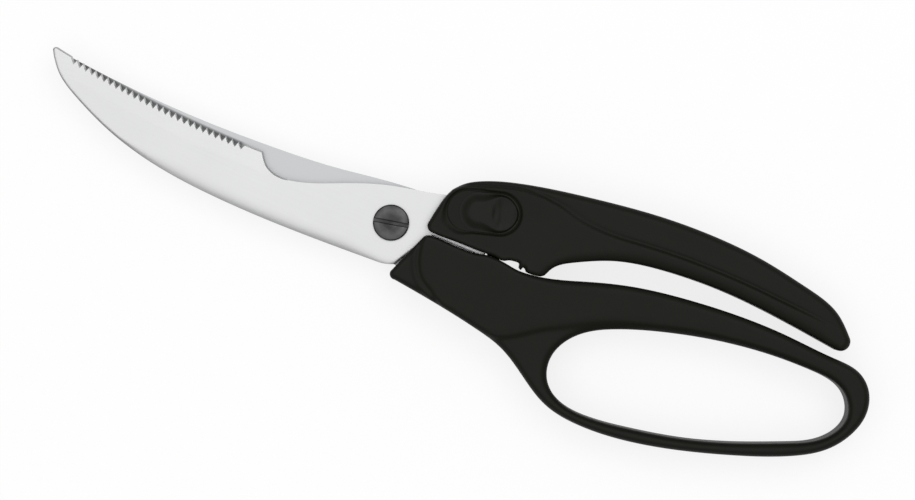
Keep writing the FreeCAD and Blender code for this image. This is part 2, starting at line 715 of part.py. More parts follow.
def lower_handle(blade):
    """Loop handle."""
    gap = size("swing_play")
    rim = stretched([(11.8, 0.75), (24, 1.0), (36, 1.2), (46, 2.5), (58, 6.3), (70, 9.9),
                     (85, 12.5), (100, 13.9), (115, 14.1), (130, 13.4), (138.2, 12.4),
                     (142.3, 9.2), (144.6, 2.3), (143.0, -4.2), (138.0, -11.2), (130, -16.5),
                     (115, -22.7), (100, -27.5), (85, -30.9), (71, -32.1), (60, -30.4),
                     (50, -24.8), (42, -20.4), (34, -18.3), (20, -16), (7.2, -14.4)],
                    TAIL, TAIL_DRAWN)
    outline = [line((5.2, -12.6, 0), (9.9, -0.4, 0)),
               arc((9.9, -0.4, 0), (10.6, 0.45, 0), (11.8, 0.75, 0)), curve(rim),
               arc((7.2, -14.4, 0), (5.6, -13.9, 0), (5.2, -12.6, 0))]
    hole = stretched([(56.3, -17.5), (58, -24), (63.5, -28.0), (72, -29.0), (85, -27.3),
                      (100, -24), (115, -18.9), (127, -13.8), (136.3, -8.2), (139.8, -0.5),
                      (136.5, 5.4), (126, 7.8), (112, 7.2), (98, 5.2), (84, 1.8), (70, -3.1),
                      (61, -8.6)], TAIL, TAIL_DRAWN)
    shoulder = stretched([(28, -21.0), (36, -18.4), (45, -14.6), (50, -11.2), (57, -7.4),
                          (63, -4.0), (70, -1.0), (80, 1.8), (90, 4.6), (100, 6.5),
                          (115, 8.4), (150, 10.0)], TAIL, TAIL_DRAWN)
    below = [line(shoulder[-1], (shoulder[-1][0], -40, 0)),
             line((shoulder[-1][0], -40, 0), (28, -40, 0)), line((28, -40, 0), shoulder[0])]
    facet = [(9.0, 3.0, 0), (9.9, -1.0, 0), (10.6, -6.0, 0), (13.0, -11.0, 0), (17.5, -14.0, 0),
             (19.0, -19.0, 0)]
    before = [line(facet[-1], (0, -19, 0)), line((0, -19, 0), (0, 3, 0)),
              line((0, 3, 0), facet[0])]
    body = handle_form("lower_form", outline, "Dims.loop_round",
                       {"shoulder": ([curve(shoulder)] + below, size("shoulder_low")),
                        "facet": ([curve(facet)] + before, size("facet_low"))}, [curve(hole, closed=True)])
    seat_cut(body, "lower_seat", SEAT_FOOT, up=False)
    swing_slot(body, "lower_swing", FRONT_CORNER.Length + gap, -PLAY, FACE + gap)
    return body, without_tang(body, blade, "lower_handle")


# ---------------------------------------------------------------- assembly

ORIGIN = Placement(Vector((REACH - TAIL) / 2, 0, HALF), Rotation())

front = toothed_blade()
rear = plain_blade()
upper_form, upper = upper_handle(front)
lower_form, lower = lower_handle(rear)
fixed = [front, rear, pivot_screw(), pivot_nut(), tension_washer(), handle_spring()]
sliding = [lock_button(), lock_bolt(), lock_rivet()]
for piece in fixed + [upper_form, lower_form]:
    piece.Placement = ORIGIN
for piece in sliding:
    piece.Placement = ORIGIN * LOCK_AXES
doc.recompute()

pieces = fixed + sliding + [upper, lower]
for obj in doc.Objects:
    if "Invalid" in obj.State or "Error" in obj.State:
        raise RuntimeError("%s failed: %s" % (obj.Name, obj.State))
for piece in pieces:
    if piece.Shape.isNull() or not piece.Shape.isValid():
        raise RuntimeError("%s has no valid shape" % piece.Label)

os.makedirs("parts", exist_ok=True)
for piece in pieces:
    piece.Shape.exportStep("parts/%s.step" % piece.Label)
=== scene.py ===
"""Poultry shears: the visual model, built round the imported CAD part.

All working sizes are millimetres in the pivot frame: the pivot is the origin, +X runs to the
handles, +Z is the side with the screw head and z = 0 lies between the two blades. They are
turned into metres of the CAD frame when a mesh is made.
"""
from __future__ import annotations

import logging
import math
from dataclasses import dataclass, field
from enum import Enum
from typing import Any

import bmesh
import bpy
import numpy as np
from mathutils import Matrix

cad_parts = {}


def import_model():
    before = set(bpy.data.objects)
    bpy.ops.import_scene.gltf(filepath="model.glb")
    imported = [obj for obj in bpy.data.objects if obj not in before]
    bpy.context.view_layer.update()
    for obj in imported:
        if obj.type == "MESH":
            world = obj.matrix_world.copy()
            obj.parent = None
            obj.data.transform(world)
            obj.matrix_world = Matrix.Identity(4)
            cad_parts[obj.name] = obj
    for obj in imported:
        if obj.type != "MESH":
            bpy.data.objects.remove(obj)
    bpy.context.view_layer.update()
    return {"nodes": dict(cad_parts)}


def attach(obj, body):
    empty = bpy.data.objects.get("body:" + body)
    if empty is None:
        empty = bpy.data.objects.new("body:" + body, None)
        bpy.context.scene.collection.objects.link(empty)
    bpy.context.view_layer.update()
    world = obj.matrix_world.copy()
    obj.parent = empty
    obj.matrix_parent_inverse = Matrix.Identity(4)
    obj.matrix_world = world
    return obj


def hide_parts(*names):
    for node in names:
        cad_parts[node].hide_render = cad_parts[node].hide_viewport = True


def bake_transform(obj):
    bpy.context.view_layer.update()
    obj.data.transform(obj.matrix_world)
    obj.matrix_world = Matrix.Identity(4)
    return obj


Array = np.ndarray
MM = 0.001
WELD = 0.004
SLIVER = 0.002
PIVOT = np.array([-18.65, 0.0, 8.0])
WORN = "handled"
LOG = logging.getLogger("shears")


class Body(Enum):
    """Rigid bodies of the frame."""

    LOOP = "loop_half"
    TOOTHED = "toothed_half"
    LOCK = "slide_lock"


class Slot(Enum):
    """Material slots."""

    BLADE = "blade_steel"
    DARK = "dark_steel"
    SPRING = "spring_steel"
    HANDLE = "handle_plastic"
    BUTTON = "button_plastic"


# ------------------------------------------------------------------ shader nodes


class Wire:
    """One output of a node, with arithmetic that adds Math nodes."""

    def __init__(self, graph: Graph, socket: bpy.types.NodeSocket) -> None:
        """Wrap a socket.

        Args:
            graph: Graph that the socket belongs to.
            socket: Output socket.
        """
        self.graph = graph
        self.socket = socket

    def __add__(self, other: Wire | float) -> Wire:
        """Sum."""
        return self.graph.math("ADD", self, other)

    __radd__ = __add__

    def __sub__(self, other: Wire | float) -> Wire:
        """Difference."""
        return self.graph.math("SUBTRACT", self, other)

    def __rsub__(self, other: Wire | float) -> Wire:
        """Difference, with this value taken away."""
        return self.graph.math("SUBTRACT", other, self)

    def __mul__(self, other: Wire | float) -> Wire:
        """Product."""
        return self.graph.math("MULTIPLY", self, other)

    __rmul__ = __mul__

    def __truediv__(self, other: Wire | float) -> Wire:
        """Quotient."""
        return self.graph.math("DIVIDE", self, other)

    def __rtruediv__(self, other: Wire | float) -> Wire:
        """Quotient, with this value below."""
        return self.graph.math("DIVIDE", other, self)

    def __pow__(self, other: Wire | float) -> Wire:
        """Power."""
        return self.graph.math("POWER", self, other)

    def clamp(self) -> Wire:
        """Limit to 0..1.

        Returns:
            The limited value.
        """
        return self.graph.node("ShaderNodeClamp", {}, {"Value": self})


class Graph:
    """Node tree of one material."""

    def __init__(self, name: str) -> None:
        """Start a material with a Principled BSDF.

        Args:
            name: Name of the material.
        """
        self.material = bpy.data.materials.new(name)
        self.material.use_nodes = True
        self.tree = self.material.node_tree
        self.shader = self.tree.nodes["Principled BSDF"]

    def node(self, kind: str, settings: dict[str, Any], inputs: dict[str | int, Any],
             output: str | int = 0) -> Wire:
        """Add a node.

        Args:
            kind: Type of the node.
            settings: Attributes to set on it.
            inputs: Value or Wire for each input.
            output: Output that is wanted.

        Returns:
            The chosen output.
        """
        made = self.tree.nodes.new(kind)
        for key, value in settings.items():
            setattr(made, key, value)
        for key, value in inputs.items():
            self.feed(made.inputs[key], value)
        return Wire(self, made.outputs[output])

    def feed(self, socket: bpy.types.NodeSocket, value: Any) -> None:
        """Link a Wire to an input, or set its value.

        Args:
            socket: Input to feed.
            value: Wire, number or tuple.
        """
        if isinstance(value, Wire):
            self.tree.links.new(value.socket, socket)
        else:
            socket.default_value = value

    def math(self, operation: str, first: Wire | float, second: Wire | float) -> Wire:
        """Add a Math node.

        Args:
            operation: Name of the operation.
            first: First operand.
            second: Second operand.

        Returns:
            The result.
        """
        return self.node("ShaderNodeMath", {"operation": operation}, {0: first, 1: second})

    def place(self, scale: tuple[float, float, float] = (1.0, 1.0, 1.0)) -> Wire:
        """Object coordinates, scaled on each axis.

        Args:
            scale: Factor on each axis, per metre.

        Returns:
            The coordinates.
        """
        spot = self.node("ShaderNodeTexCoord", {}, {}, "Object")
        return self.node("ShaderNodeMapping", {"vector_type": "POINT"},
                         {"Vector": spot, "Scale": scale})

    def noise(self, vector: Wire, scale: float, detail: float) -> Wire:
        """Add a noise texture.

        Args:
            vector: Coordinates.
            scale: Scale of the noise.
            detail: Octaves.

        Returns:
            The noise value, about 0..1.
        """
        return self.node("ShaderNodeTexNoise", {}, {"Vector": vector, "Scale": scale,
                                                    "Detail": detail, "Roughness": 0.55})

    def mix(self, factor: Wire | float, first: Any, second: Any) -> Wire:
        """Mix two colours.

        Args:
            factor: Share of the second colour.
            first: First colour.
            second: Second colour.

        Returns:
            The mixed colour.
        """
        made = self.tree.nodes.new("ShaderNodeMix")
        made.data_type = "RGBA"
        self.feed(made.inputs["Factor"], factor)
        self.feed(made.inputs[6], first)
        self.feed(made.inputs[7], second)
        return Wire(self, made.outputs[2])

    def attribute(self, name: str) -> Wire:
        """Read a number stored on the mesh.

        Args:
            name: Name of the attribute.

        Returns:
            Its value.
        """
        return self.node("ShaderNodeAttribute", {"attribute_name": name}, {}, "Fac")

    def bump(self, height: Wire, distance: float, strength: float) -> None:
        """Drive the shader's normal from a height.

        Args:
            height: Height, 0..1.
            distance: Depth in metres.
            strength: Share of the effect.
        """
        normal = self.node("ShaderNodeBump", {}, {"Height": height, "Distance": distance,
                                                  "Strength": strength}, "Normal")
        self.feed(self.shader.inputs["Normal"], normal)

    def surface(self, **values: Any) -> bpy.types.Material:
        """Set inputs of the shader.

        Args:
            **values: Value for each input, underscores standing for spaces.

        Returns:
            The material.
        """
        for key, value in values.items():
            self.feed(self.shader.inputs[key.replace("_", " ")], value)
        return self.material


Colour = tuple[float, float, float, float]


def grey(level: float, blue: float = 0.0) -> Colour:
    """Opaque grey, with a little blue added.

    Args:
        level: Linear level.
        blue: Amount added to blue.

    Returns:
        RGBA colour.
    """
    return (level, level + blue * 0.4, level + blue, 1.0)


@dataclass(frozen=True)
class MouldedNylon:
    """Near-black glass-filled nylon with a fine spark-eroded texture."""

    name: str = "moulded_nylon"
    base: Colour = (0.0050, 0.0054, 0.0030, 1.0)
    worn: Colour = (0.0080, 0.0082, 0.0060, 1.0)
    roughness: float = 0.5
    gloss: float = 0.13
    grain: float = 2600.0
    grain_depth: float = 0.00003
    blotches: float = 60.0

    def make(self) -> bpy.types.Material:
        """Build the material.

        Returns:
            The material.
        """
        graph = Graph(self.name)
        spot = graph.place()
        grain = graph.noise(spot, self.grain, 2.0)
        blotch = graph.noise(spot, self.blotches, 3.0)
        wear = (graph.attribute(WORN) * (0.55 + blotch * 0.9)).clamp()
        graph.bump(grain, self.grain_depth, 0.35)
        return graph.surface(Base_Color=graph.mix(wear, self.base, self.worn),
                             Roughness=self.roughness + (blotch - 0.5) * 0.10 - wear * 0.07,
                             Specular_IOR_Level=self.gloss)


@dataclass(frozen=True)
class BrushedSteel:
    """Satin stainless steel with fine grinding lines."""

    name: str = "brushed_steel"
    base: Colour = grey(0.54, 0.002)
    dark: Colour = grey(0.45, 0.004)
    roughness: float = 0.36
    lines: tuple[float, float, float] = (60.0, 4200.0, 4200.0)
    line_depth: float = 0.000004
    clouds: float = 45.0
    # Colour, strength and place of the painted shade strip under the teeth; none while shade is 0.
    painted_shade_colour: Colour = grey(0.05)
    shade: float = 0.0
    strip_above: float = 0.45

    def make(self) -> bpy.types.Material:
        """Build the material.

        Returns:
            The material.
        """
        graph = Graph(self.name)
        lines = graph.noise(graph.place(self.lines), 1.0, 4.0)
        cloud = graph.noise(graph.place(), self.clouds, 3.0)
        tone = (lines * 0.6 + cloud * 0.4 - 0.2).clamp()
        graph.bump(lines, self.line_depth, 0.25)
        colour = graph.mix(tone, self.dark, self.base)
        # Painted shade: darkens the strip that lies under the tooth gaps of the closed front blade.
        if self.shade:
            colour = graph.mix(self.painted_tooth_gap_shade(graph) * self.shade, colour, self.painted_shade_colour)
        return graph.surface(Base_Color=colour, Metallic=1.0,
                             Roughness=self.roughness + (lines - 0.5) * 0.12)

    def painted_tooth_gap_shade(self, graph: Graph) -> Wire:
        """Painted shade: a dark strip under the teeth of the closed front blade, standing in for
        the shade in its tooth gaps.

        Over the distance d in mm from the arc that lies strip_above over the tooth tips, the
        strip is 1 - d^2. It fades out toward its ends.

        Args:
            graph: Graph to add to.

        Returns:
            Share of the painted shade, 0..1.
        """
        blade = ToothedBlade()
        spot = graph.node("ShaderNodeTexCoord", {}, {}, "Object")
        x = graph.node("ShaderNodeSeparateXYZ", {}, {0: spot}, "X") / MM - float(PIVOT[0])
        y = graph.node("ShaderNodeSeparateXYZ", {}, {0: spot}, "Y") / MM
        across, up = x - blade.centre[0], y - blade.centre[1]
        far = (across * across + up * up) ** 0.5 - (blade.radius + self.strip_above)
        ends = ((x - blade.first + 1.0) * 0.4).clamp() * ((blade.heel + 0.5 - x) * 0.5).clamp()
        return (1.0 - far * far).clamp() * ends


@dataclass(frozen=True)
class BurnishedSteel:
    """Dark oiled steel of the screw, nut and lock parts."""

    name: str = "burnished_steel"
    base: Colour = grey(0.028)
    bright: Colour = grey(0.11)
    roughness: float = 0.34
    clouds: float = 300.0
    grain: float = 3200.0
    grain_depth: float = 0.00001

    def make(self) -> bpy.types.Material:
        """Build the material.

        Returns:
            The material.
        """
        graph = Graph(self.name)
        spot = graph.place()
        cloud = graph.noise(spot, self.clouds, 3.0)
        fine = graph.noise(spot, self.grain, 2.0)
        # Lighter where the noise is high and where the mesh marks it, as on the ring of the screw
        # head.
        lighter_share = ((cloud - 0.35) * 1.1 + graph.attribute(WORN) * 0.35).clamp()
        graph.bump(fine, self.grain_depth, 0.3)
        return graph.surface(Base_Color=graph.mix(lighter_share, self.base, self.bright), Metallic=1.0,
                             Roughness=self.roughness + (fine - 0.5) * 0.2)


@dataclass(frozen=True)
class SpringWire:
    """Drawn spring wire."""

    name: str = "spring_wire"
    base: Colour = grey(0.22)
    bright: Colour = grey(0.4)
    roughness: float = 0.3
    clouds: float = 900.0

    def make(self) -> bpy.types.Material:
        """Build the material.

        Returns:
            The material.
        """
        graph = Graph(self.name)
        cloud = graph.noise(graph.place(), self.clouds, 2.0)
        return graph.surface(Base_Color=graph.mix(cloud, self.base, self.bright), Metallic=1.0,
                             Roughness=self.roughness + (cloud - 0.5) * 0.1)


# ------------------------------------------------------------------ meshes


@dataclass
class Sheets:
    """Gridded sheets that are welded into one mesh."""

    points: list[Array] = field(default_factory=list)
    quads: list[Array] = field(default_factory=list)
    marks: list[Array] = field(default_factory=list)
    count: int = 0

    def add(self, grid: Array, mark: Array | float = 0.0, closed: bool = False) -> None:
        """Add one sheet: quads join neighbouring points of a grid.

        Args:
            grid: Points, rows x columns x 3, in millimetres.
            mark: Wear of each point, one number or rows x columns.
            closed: Join the last column to the first.
        """
        rows, columns = grid.shape[:2]
        index = np.arange(rows * columns).reshape(rows, columns) + self.count
        if closed:
            index = np.concatenate([index, index[:, :1]], axis=1)
        corners = [index[:-1, :-1], index[:-1, 1:], index[1:, 1:], index[1:, :-1]]
        self.quads.append(np.stack(corners, axis=-1).reshape(-1, 4))
        self.points.append(grid.reshape(-1, 3))
        self.marks.append(np.broadcast_to(mark, (rows, columns)).reshape(-1))
        self.count += rows * columns

    def build(self, name: str, material: bpy.types.Material) -> bpy.types.Object:
        """Weld the sheets and make the object.

        Args:
            name: Name of the object.
            material: Its material.

        Returns:
            The object, at the origin of the CAD frame.
        """
        points = (np.concatenate(self.points) + PIVOT) * MM
        mesh = bpy.data.meshes.new(name)
        mesh.from_pydata(points.tolist(), [], np.concatenate(self.quads).tolist())
        wear = mesh.attributes.new(WORN, "FLOAT", "POINT")
        wear.data.foreach_set("value", np.concatenate(self.marks).astype(np.float32))
        work = bmesh.new()
        work.from_mesh(mesh)
        bmesh.ops.remove_doubles(work, verts=work.verts, dist=WELD * MM)
        bmesh.ops.dissolve_degenerate(work, edges=work.edges, dist=SLIVER * MM)
        bmesh.ops.recalc_face_normals(work, faces=work.faces)
        open_edges = sum(not e.is_manifold for e in work.edges)
        work.to_mesh(mesh)
        work.free()
        mesh.shade_smooth()
        made = bpy.data.objects.new(name, mesh)
        bpy.context.scene.collection.objects.link(made)
        mesh.materials.append(material)
        LOG.info("%s: %d faces, %d open edges", name, len(mesh.polygons), open_edges)
        return made


def lifted(plan: Array, height: Array | float) -> Array:
    """Points over a plan: z set beside x and y.

    Args:
        plan: Points in plan, any shape x 2.
        height: Height of each point, or one for all.

    Returns:
        Points, any shape x 3.
    """
    z = np.broadcast_to(height, plan.shape[:-1])
    return np.concatenate([plan, z[..., None]], axis=-1)


def curtain(run: Array, lip: Array, foot: Array | float, rows: int) -> Array:
    """Wall under a line: z = lip (1 - t) + foot t, with t from 0 to 1.

    Args:
        run: Points of the line in plan.
        lip: Height of the line at each point.
        foot: Height where the wall ends.
        rows: Points from top to bottom.

    Returns:
        Grid of points.
    """
    share = np.linspace(0, 1, rows)[:, None]
    return lifted(np.broadcast_to(run, (rows, *run.shape)),
                  lip[None] * (1 - share) + foot * share)


def border(grid: Array) -> Array:
    """Values round the border of a grid, each once and in order.

    Args:
        grid: Rows x columns of numbers or points.

    Returns:
        The border's values.
    """
    return np.concatenate([grid[:-1, 0], grid[-1, :-1], grid[:0:-1, -1], grid[0, :0:-1]])


# ------------------------------------------------------------------ plan curves


def spline(points: Array | list[tuple[float, float]], step: float = 0.25,
           closed: bool = False) -> Array:
    """Natural cubic through the points, over the length of their chords.

    Between two points the curve is the cubic whose second derivatives at both ends solve
    the continuity equations; they are zero at the ends of an open curve.

    Args:
        points: Points in plan.
        step: Spacing of the result.
        closed: Whether the curve returns to its first point.

    Returns:
        Points of the curve, n x 2.
    """
    knots = np.asarray(points, float)
    if closed:
        knots = np.concatenate([knots[-3:], knots, knots[:3]])
    span = np.linalg.norm(np.diff(knots, axis=0), axis=1)
    place = np.concatenate([[0.0], np.cumsum(span)])
    count = len(knots)
    system = np.eye(count)
    right = np.zeros((count, 2))
    inner = np.arange(1, count - 1)
    system[inner, inner - 1] = span[:-1]
    system[inner, inner] = 2 * (span[:-1] + span[1:])
    system[inner, inner + 1] = span[1:]
    slope = np.diff(knots, axis=0) / span[:, None]
    right[1:-1] = 6 * np.diff(slope, axis=0)
    bend = np.linalg.solve(system, right)
    first, last = (place[3], place[-3]) if closed else (place[0], place[-1])
    where = np.linspace(first, last, max(int((last - first) / step), 4) + 1)
    if closed:
        where = where[:-1]
    piece = np.clip(np.searchsorted(place, where, "right") - 1, 0, count - 2)
    width = span[piece][:, None]
    a = (place[piece + 1] - where)[:, None] / width
    b = 1 - a
    return (a * knots[piece] + b * knots[piece + 1]
            + ((a ** 3 - a) * bend[piece] + (b ** 3 - b) * bend[piece + 1]) * width ** 2 / 6)


def arc_through(start: tuple[float, float], middle: tuple[float, float],
                end: tuple[float, float], step: float = 0.25) -> Array:
    """Arc of the circle through three points.

    Args:
        start: First point.
        middle: Point on the way.
        end: Last point.
        step: Spacing of the result.

    Returns:
        Points of the arc, n x 2.
    """
    p, q, r = (np.asarray(v, float) for v in (start, middle, end))
    rows = np.array([2 * (q - p), 2 * (r - p)])
    centre = np.linalg.solve(rows, np.array([q @ q - p @ p, r @ r - p @ p]))
    radius = float(np.linalg.norm(p - centre))
    angles = np.unwrap([math.atan2(*(v - centre)[::-1]) for v in (p, q, r)])
    count = max(int(abs(angles[2] - angles[0]) * radius / step), 4)
    turn = np.linspace(angles[0], angles[2], count + 1)
    return centre + radius * np.stack([np.cos(turn), np.sin(turn)], axis=1)


def travelled(points: Array) -> Array:
    """Length along a line up to each point.

    Args:
        points: Points of the line.

    Returns:
        Lengths, starting at zero.
    """
    return np.concatenate([[0.0], np.cumsum(np.linalg.norm(np.diff(points, axis=0), axis=1))])


def sampled(points: Array, lengths: Array) -> Array:
    """Points at given lengths along a line.

    Args:
        points: Points of the line.
        lengths: Lengths from its start.

    Returns:
        Interpolated points.
    """
    run = travelled(points)
    return np.stack([np.interp(lengths, run, points[:, k]) for k in range(2)], axis=1)


def nearest(points: Array, line: Array, chunk: int = 1500) -> tuple[Array, Array, Array]:
    """Distance of points from a line of straight pieces.

    Args:
        points: Points in plan, n x 2.
        line: Points of the line.
        chunk: Points worked at a time.

    Returns:
        Distance, side (+1 on the left of the line's direction) and length along the line.
    """
    start, step = line[:-1], np.diff(line, axis=0)
    size = np.maximum((step ** 2).sum(axis=1), 1e-12)
    run = travelled(line)
    found = []
    for part in np.array_split(points, max(len(points) // chunk, 1)):
        gap = part[:, None] - start[None]
        share = np.clip((gap * step).sum(axis=2) / size, 0, 1)
        off = gap - share[..., None] * step
        far = (off ** 2).sum(axis=2)
        best = far.argmin(axis=1)
        rows = np.arange(len(part))
        cross = step[best, 0] * gap[rows, best, 1] - step[best, 1] * gap[rows, best, 0]
        reach = run[best] + share[rows, best] * np.sqrt(size[best])
        found.append(np.stack([np.sqrt(far[rows, best]), np.where(cross < 0, -1.0, 1.0), reach]))
    return tuple(np.concatenate(found, axis=1))


def smooth(value: Array) -> Array:
    """Ease from 0 to 1: 3t^2 - 2t^3, with t limited to 0..1.

    Args:
        value: Values to ease.

    Returns:
        Eased values.
    """
    t = np.clip(value, 0, 1)
    return t * t * (3 - 2 * t)


def crowded(count: int, both: bool = True) -> Array:
    """Numbers from 0 to 1 that crowd toward the end, or toward both ends.

    Args:
        count: Number of steps.
        both: Crowd at both ends.

    Returns:
        count + 1 numbers.
    """
    even = np.linspace(0, 1, count + 1)
    return 0.5 - 0.5 * np.cos(math.pi * even) if both else np.sin(math.pi / 2 * even)


# ------------------------------------------------------------------ handles


@dataclass(frozen=True)
class Rim:
    """One run of a handle's outline, with the rounding of its edge along it."""

    line: Array
    places: tuple[float, ...]
    widths: tuple[float, ...]
    depths: tuple[float, ...]
    soft: bool = False

    def width(self) -> Array:
        """Width of the rounding at each point of the line.

        Returns:
            Widths, interpolated over x.
        """
        return np.interp(self.line[:, 0], self.places, self.widths)

    def depth(self) -> Array:
        """Depth of the rounding at each point of the line.

        Returns:
            Depths, interpolated over x.
        """
        return np.interp(self.line[:, 0], self.places, self.depths)


@dataclass(frozen=True)
class Crease:
    """A line on a handle's face: the side to its left lies lower, behind a soft step."""

    line: Array
    step: float
    ease: float
    groove: float
    groove_wide: float
    full: float = 200.0
    gone: float = 300.0

    def drop(self, points: Array) -> Array:
        """Depth below the face.

        The step is an eased ramp over the signed distance d from the line, and the groove
        is a bell, exp(-(d / w)^2). Both fade out between the places full and gone.

        Args:
            points: Points in plan.

        Returns:
            Depths.
        """
        far, side, _ = nearest(points, self.line)
        signed = far * side
        strength = smooth((self.gone - points[:, 0]) / (self.gone - self.full))
        ramp = self.step * smooth(signed / self.ease)
        bell = self.groove * np.exp(-(signed / self.groove_wide) ** 2)
        return strength * (ramp + bell)


@dataclass
class Handle:
    """A moulded handle: a ring of sheets round its opening or recess, and a patch beyond.

    The face is z = half thickness - taper - edge rounding - creases, over the plan.
    """

    name: str
    outline: list[Rim]
    opening: Rim
    station: float
    pairs: list[tuple[tuple[float, float], tuple[float, float]]]
    creases: list[Crease]
    slot: tuple[float, float, float]
    blind: float | None = None
    half: float = 7.95
    tail_half: float = 6.25
    taper_from: float = 58.0
    tail: float = 144.6
    ring_steps: int = 22
    patch_steps: int = 150
    wall_steps: int = 7
    ring_pitch: float = 0.42
    gate_steps: int = 72
    share_of_gap: float = 0.52
    wear: float = 0.6
    wear_reach: float = 1.3
    slot_margin: float = 1.005
    slot_rows: int = 6
    hollow_rows: int = 12
    floor_rings: int = 24
    corners: tuple[tuple[float, float], tuple[float, float]] = ((0.0, 0.0), (0.0, 0.0))

    def __post_init__(self) -> None:
        """Join the outline's runs and keep the rounding of each point."""
        self.loop = np.concatenate([r.line[:-1] for r in self.outline])
        self.loop_width = np.concatenate([r.width()[:-1] for r in self.outline])
        self.loop_depth = np.concatenate([r.depth()[:-1] for r in self.outline])

    def face(self, points: Array, under: bool = False) -> Array:
        """Height of a face over points in plan.

        Rounding at an edge of width w and depth k, at distance d inside it, is
        k (1 - sqrt(1 - (1 - d/w)^2)), or k s(1 - d/w) with the eased ramp s on a soft rim.

        Args:
            points: Points in plan, any shape x 2.
            under: Whether this is the underside, which a blind recess doesn't reach.

        Returns:
            Heights.
        """
        flat = points.reshape(-1, 2)
        taper = (self.half - self.tail_half) * np.clip(
            (flat[:, 0] - self.taper_from) / (self.tail - self.taper_from), 0, None) ** 2
        height = self.half - taper
        edges = [(self.loop, self.loop_width, self.loop_depth),
                 (self.opening.line, self.opening.width(), self.opening.depth())]
        soft = [False, self.opening.soft]
        found = []
        for line, widths, depths in edges:
            ring = np.concatenate([line, line[:1]])
            run = travelled(ring)
            far, _, reach = nearest(flat, ring)
            found.append((far, np.interp(reach, run, np.append(widths, widths[0])),
                          np.interp(reach, run, np.append(depths, depths[0]))))
        across = found[0][0] + found[1][0]
        if under and self.blind is not None:
            found.pop()
        for (far, width, depth), eased in zip(found, soft):
            wide = np.minimum(width, self.share_of_gap * across)
            inside = 1 - np.clip(far / np.maximum(wide, 1e-6), 0, 1)
            height = height - depth * (smooth(inside) if eased else 1 - np.sqrt(1 - inside ** 2))
        for crease in self.creases:
            height = height - crease.drop(flat)
        return height.reshape(points.shape[:-1])

    def worn(self, points: Array) -> Array:
        """Wear of the rounded outer edge: a exp(-(d / w)^2), with d the distance inside it.

        Args:
            points: Points in plan.

        Returns:
            Wear, 0..1.
        """
        flat = points.reshape(-1, 2)
        far, _, _ = nearest(flat, np.concatenate([self.loop, self.loop[:1]]))
        wear = self.wear * np.exp(-(far / self.wear_reach) ** 2)
        return wear.reshape(points.shape[:-1])

    def ring(self) -> tuple[Array, Array, slice]:
        """Match the opening with the part of the outline that lies round it.

        Pairs of points tie lengths along the two lines together.

        Returns:
            Inner points, outer points, and the samples that lie on the station line.
        """
        beyond = self.opening.line[:, 0].mean() > self.station
        keep = self.loop[:, 0] > self.station if beyond else self.loop[:, 0] < self.station
        start = int(np.flatnonzero(keep & ~np.roll(keep, 1))[0])
        outer = np.roll(self.loop, -start, axis=0)[:int(keep.sum())]
        gate = np.array([[self.station, outer[0, 1]], [self.station, outer[-1, 1]]])
        outer = np.concatenate([gate[:1], outer, gate[1:]])
        inner = np.concatenate([self.opening.line, self.opening.line[:1]])
        outer_run, inner_run = travelled(outer), travelled(inner)
        keys = []
        for near, far in self.pairs:
            a = inner_run[np.argmin(((inner - near) ** 2).sum(axis=1))]
            b = outer_run[np.argmin(((outer - far) ** 2).sum(axis=1))]
            keys.append((b, a))
        keys.sort()
        place = np.array([k[0] for k in keys])
        match = np.unwrap([k[1] for k in keys], period=inner_run[-1])
        count = int(outer_run[-1] / self.ring_pitch)
        where = np.linspace(0, outer_run[-1], count)
        inside = np.interp(where, place, match)
        share = crowded(self.gate_steps)
        across = gate[1] + (gate[0] - gate[1]) * share[:, None]
        turn = match[-1] + (match[0] + inner_run[-1] - match[-1]) * share
        inside = np.concatenate([inside, turn[1:-1]])
        outside = np.concatenate([sampled(outer, where), across[1:-1]])
        inner_points = sampled(inner, np.mod(inside, inner_run[-1]))
        return inner_points, outside, slice(count - 1, len(outside))

    def patch(self, gate: Array) -> Array:
        """Coons patch from the station line to the far end of the outline.

        P = low (1 - t) + top t + gate (1 - u) + end u, less the bilinear blend of the
        four corners.

        Args:
            gate: Points on the station line.

        Returns:
            Grid of points in plan.
        """
        beyond = self.opening.line[:, 0].mean() < self.station
        keep = self.loop[:, 0] > self.station if beyond else self.loop[:, 0] < self.station
        start = int(np.flatnonzero(keep & ~np.roll(keep, 1))[0])
        run = np.roll(self.loop, -start, axis=0)[:int(keep.sum())]
        run = np.concatenate([gate[:1], run, gate[-1:]])
        length = travelled(run)
        ends = [length[np.argmin(((run - np.asarray(c)) ** 2).sum(axis=1))] for c in self.corners]
        first, second = sorted(ends)
        share = travelled(gate)
        share = share / share[-1]
        u = crowded(self.patch_steps, both=False)
        one = sampled(run, first * u)
        two = sampled(run, length[-1] + (second - length[-1]) * u)
        end = sampled(run, first + (second - first) * share)
        t, w = share[None, :, None], u[:, None, None]
        low, top = one[:, None], two[:, None]
        blend = ((1 - w) * ((1 - t) * gate[0] + t * gate[-1])
                 + w * ((1 - t) * end[0] + t * end[-1]))
        return (1 - t) * low + t * top + (1 - w) * gate[None] + w * end[None] - blend

    def build(self, material: bpy.types.Material) -> bpy.types.Object:
        """Make the handle.

        Args:
            material: Its material.

        Returns:
            The object.
        """
        inner, outer, gate = self.ring()
        share = crowded(self.ring_steps)[:, None, None]
        ring = inner[None] * (1 - share) + outer[None] * share
        across = np.concatenate([outer[gate], outer[:1]])
        patch = self.patch(across)
        sheets = Sheets()
        for plan, closed in ((ring, True), (patch, False)):
            wear = self.worn(plan)
            for side in (1, -1):
                height = side * self.face(plan, under=side < 0)
                sheets.add(lifted(plan, height), wear, closed)
        run = np.concatenate([outer[:gate.start + 1], patch[1:, 0], patch[-1, 1:],
                              patch[-2:0:-1, -1]])
        self.wall(sheets, run)
        self.hollow(sheets, inner)
        return sheets.build(self.name, material)

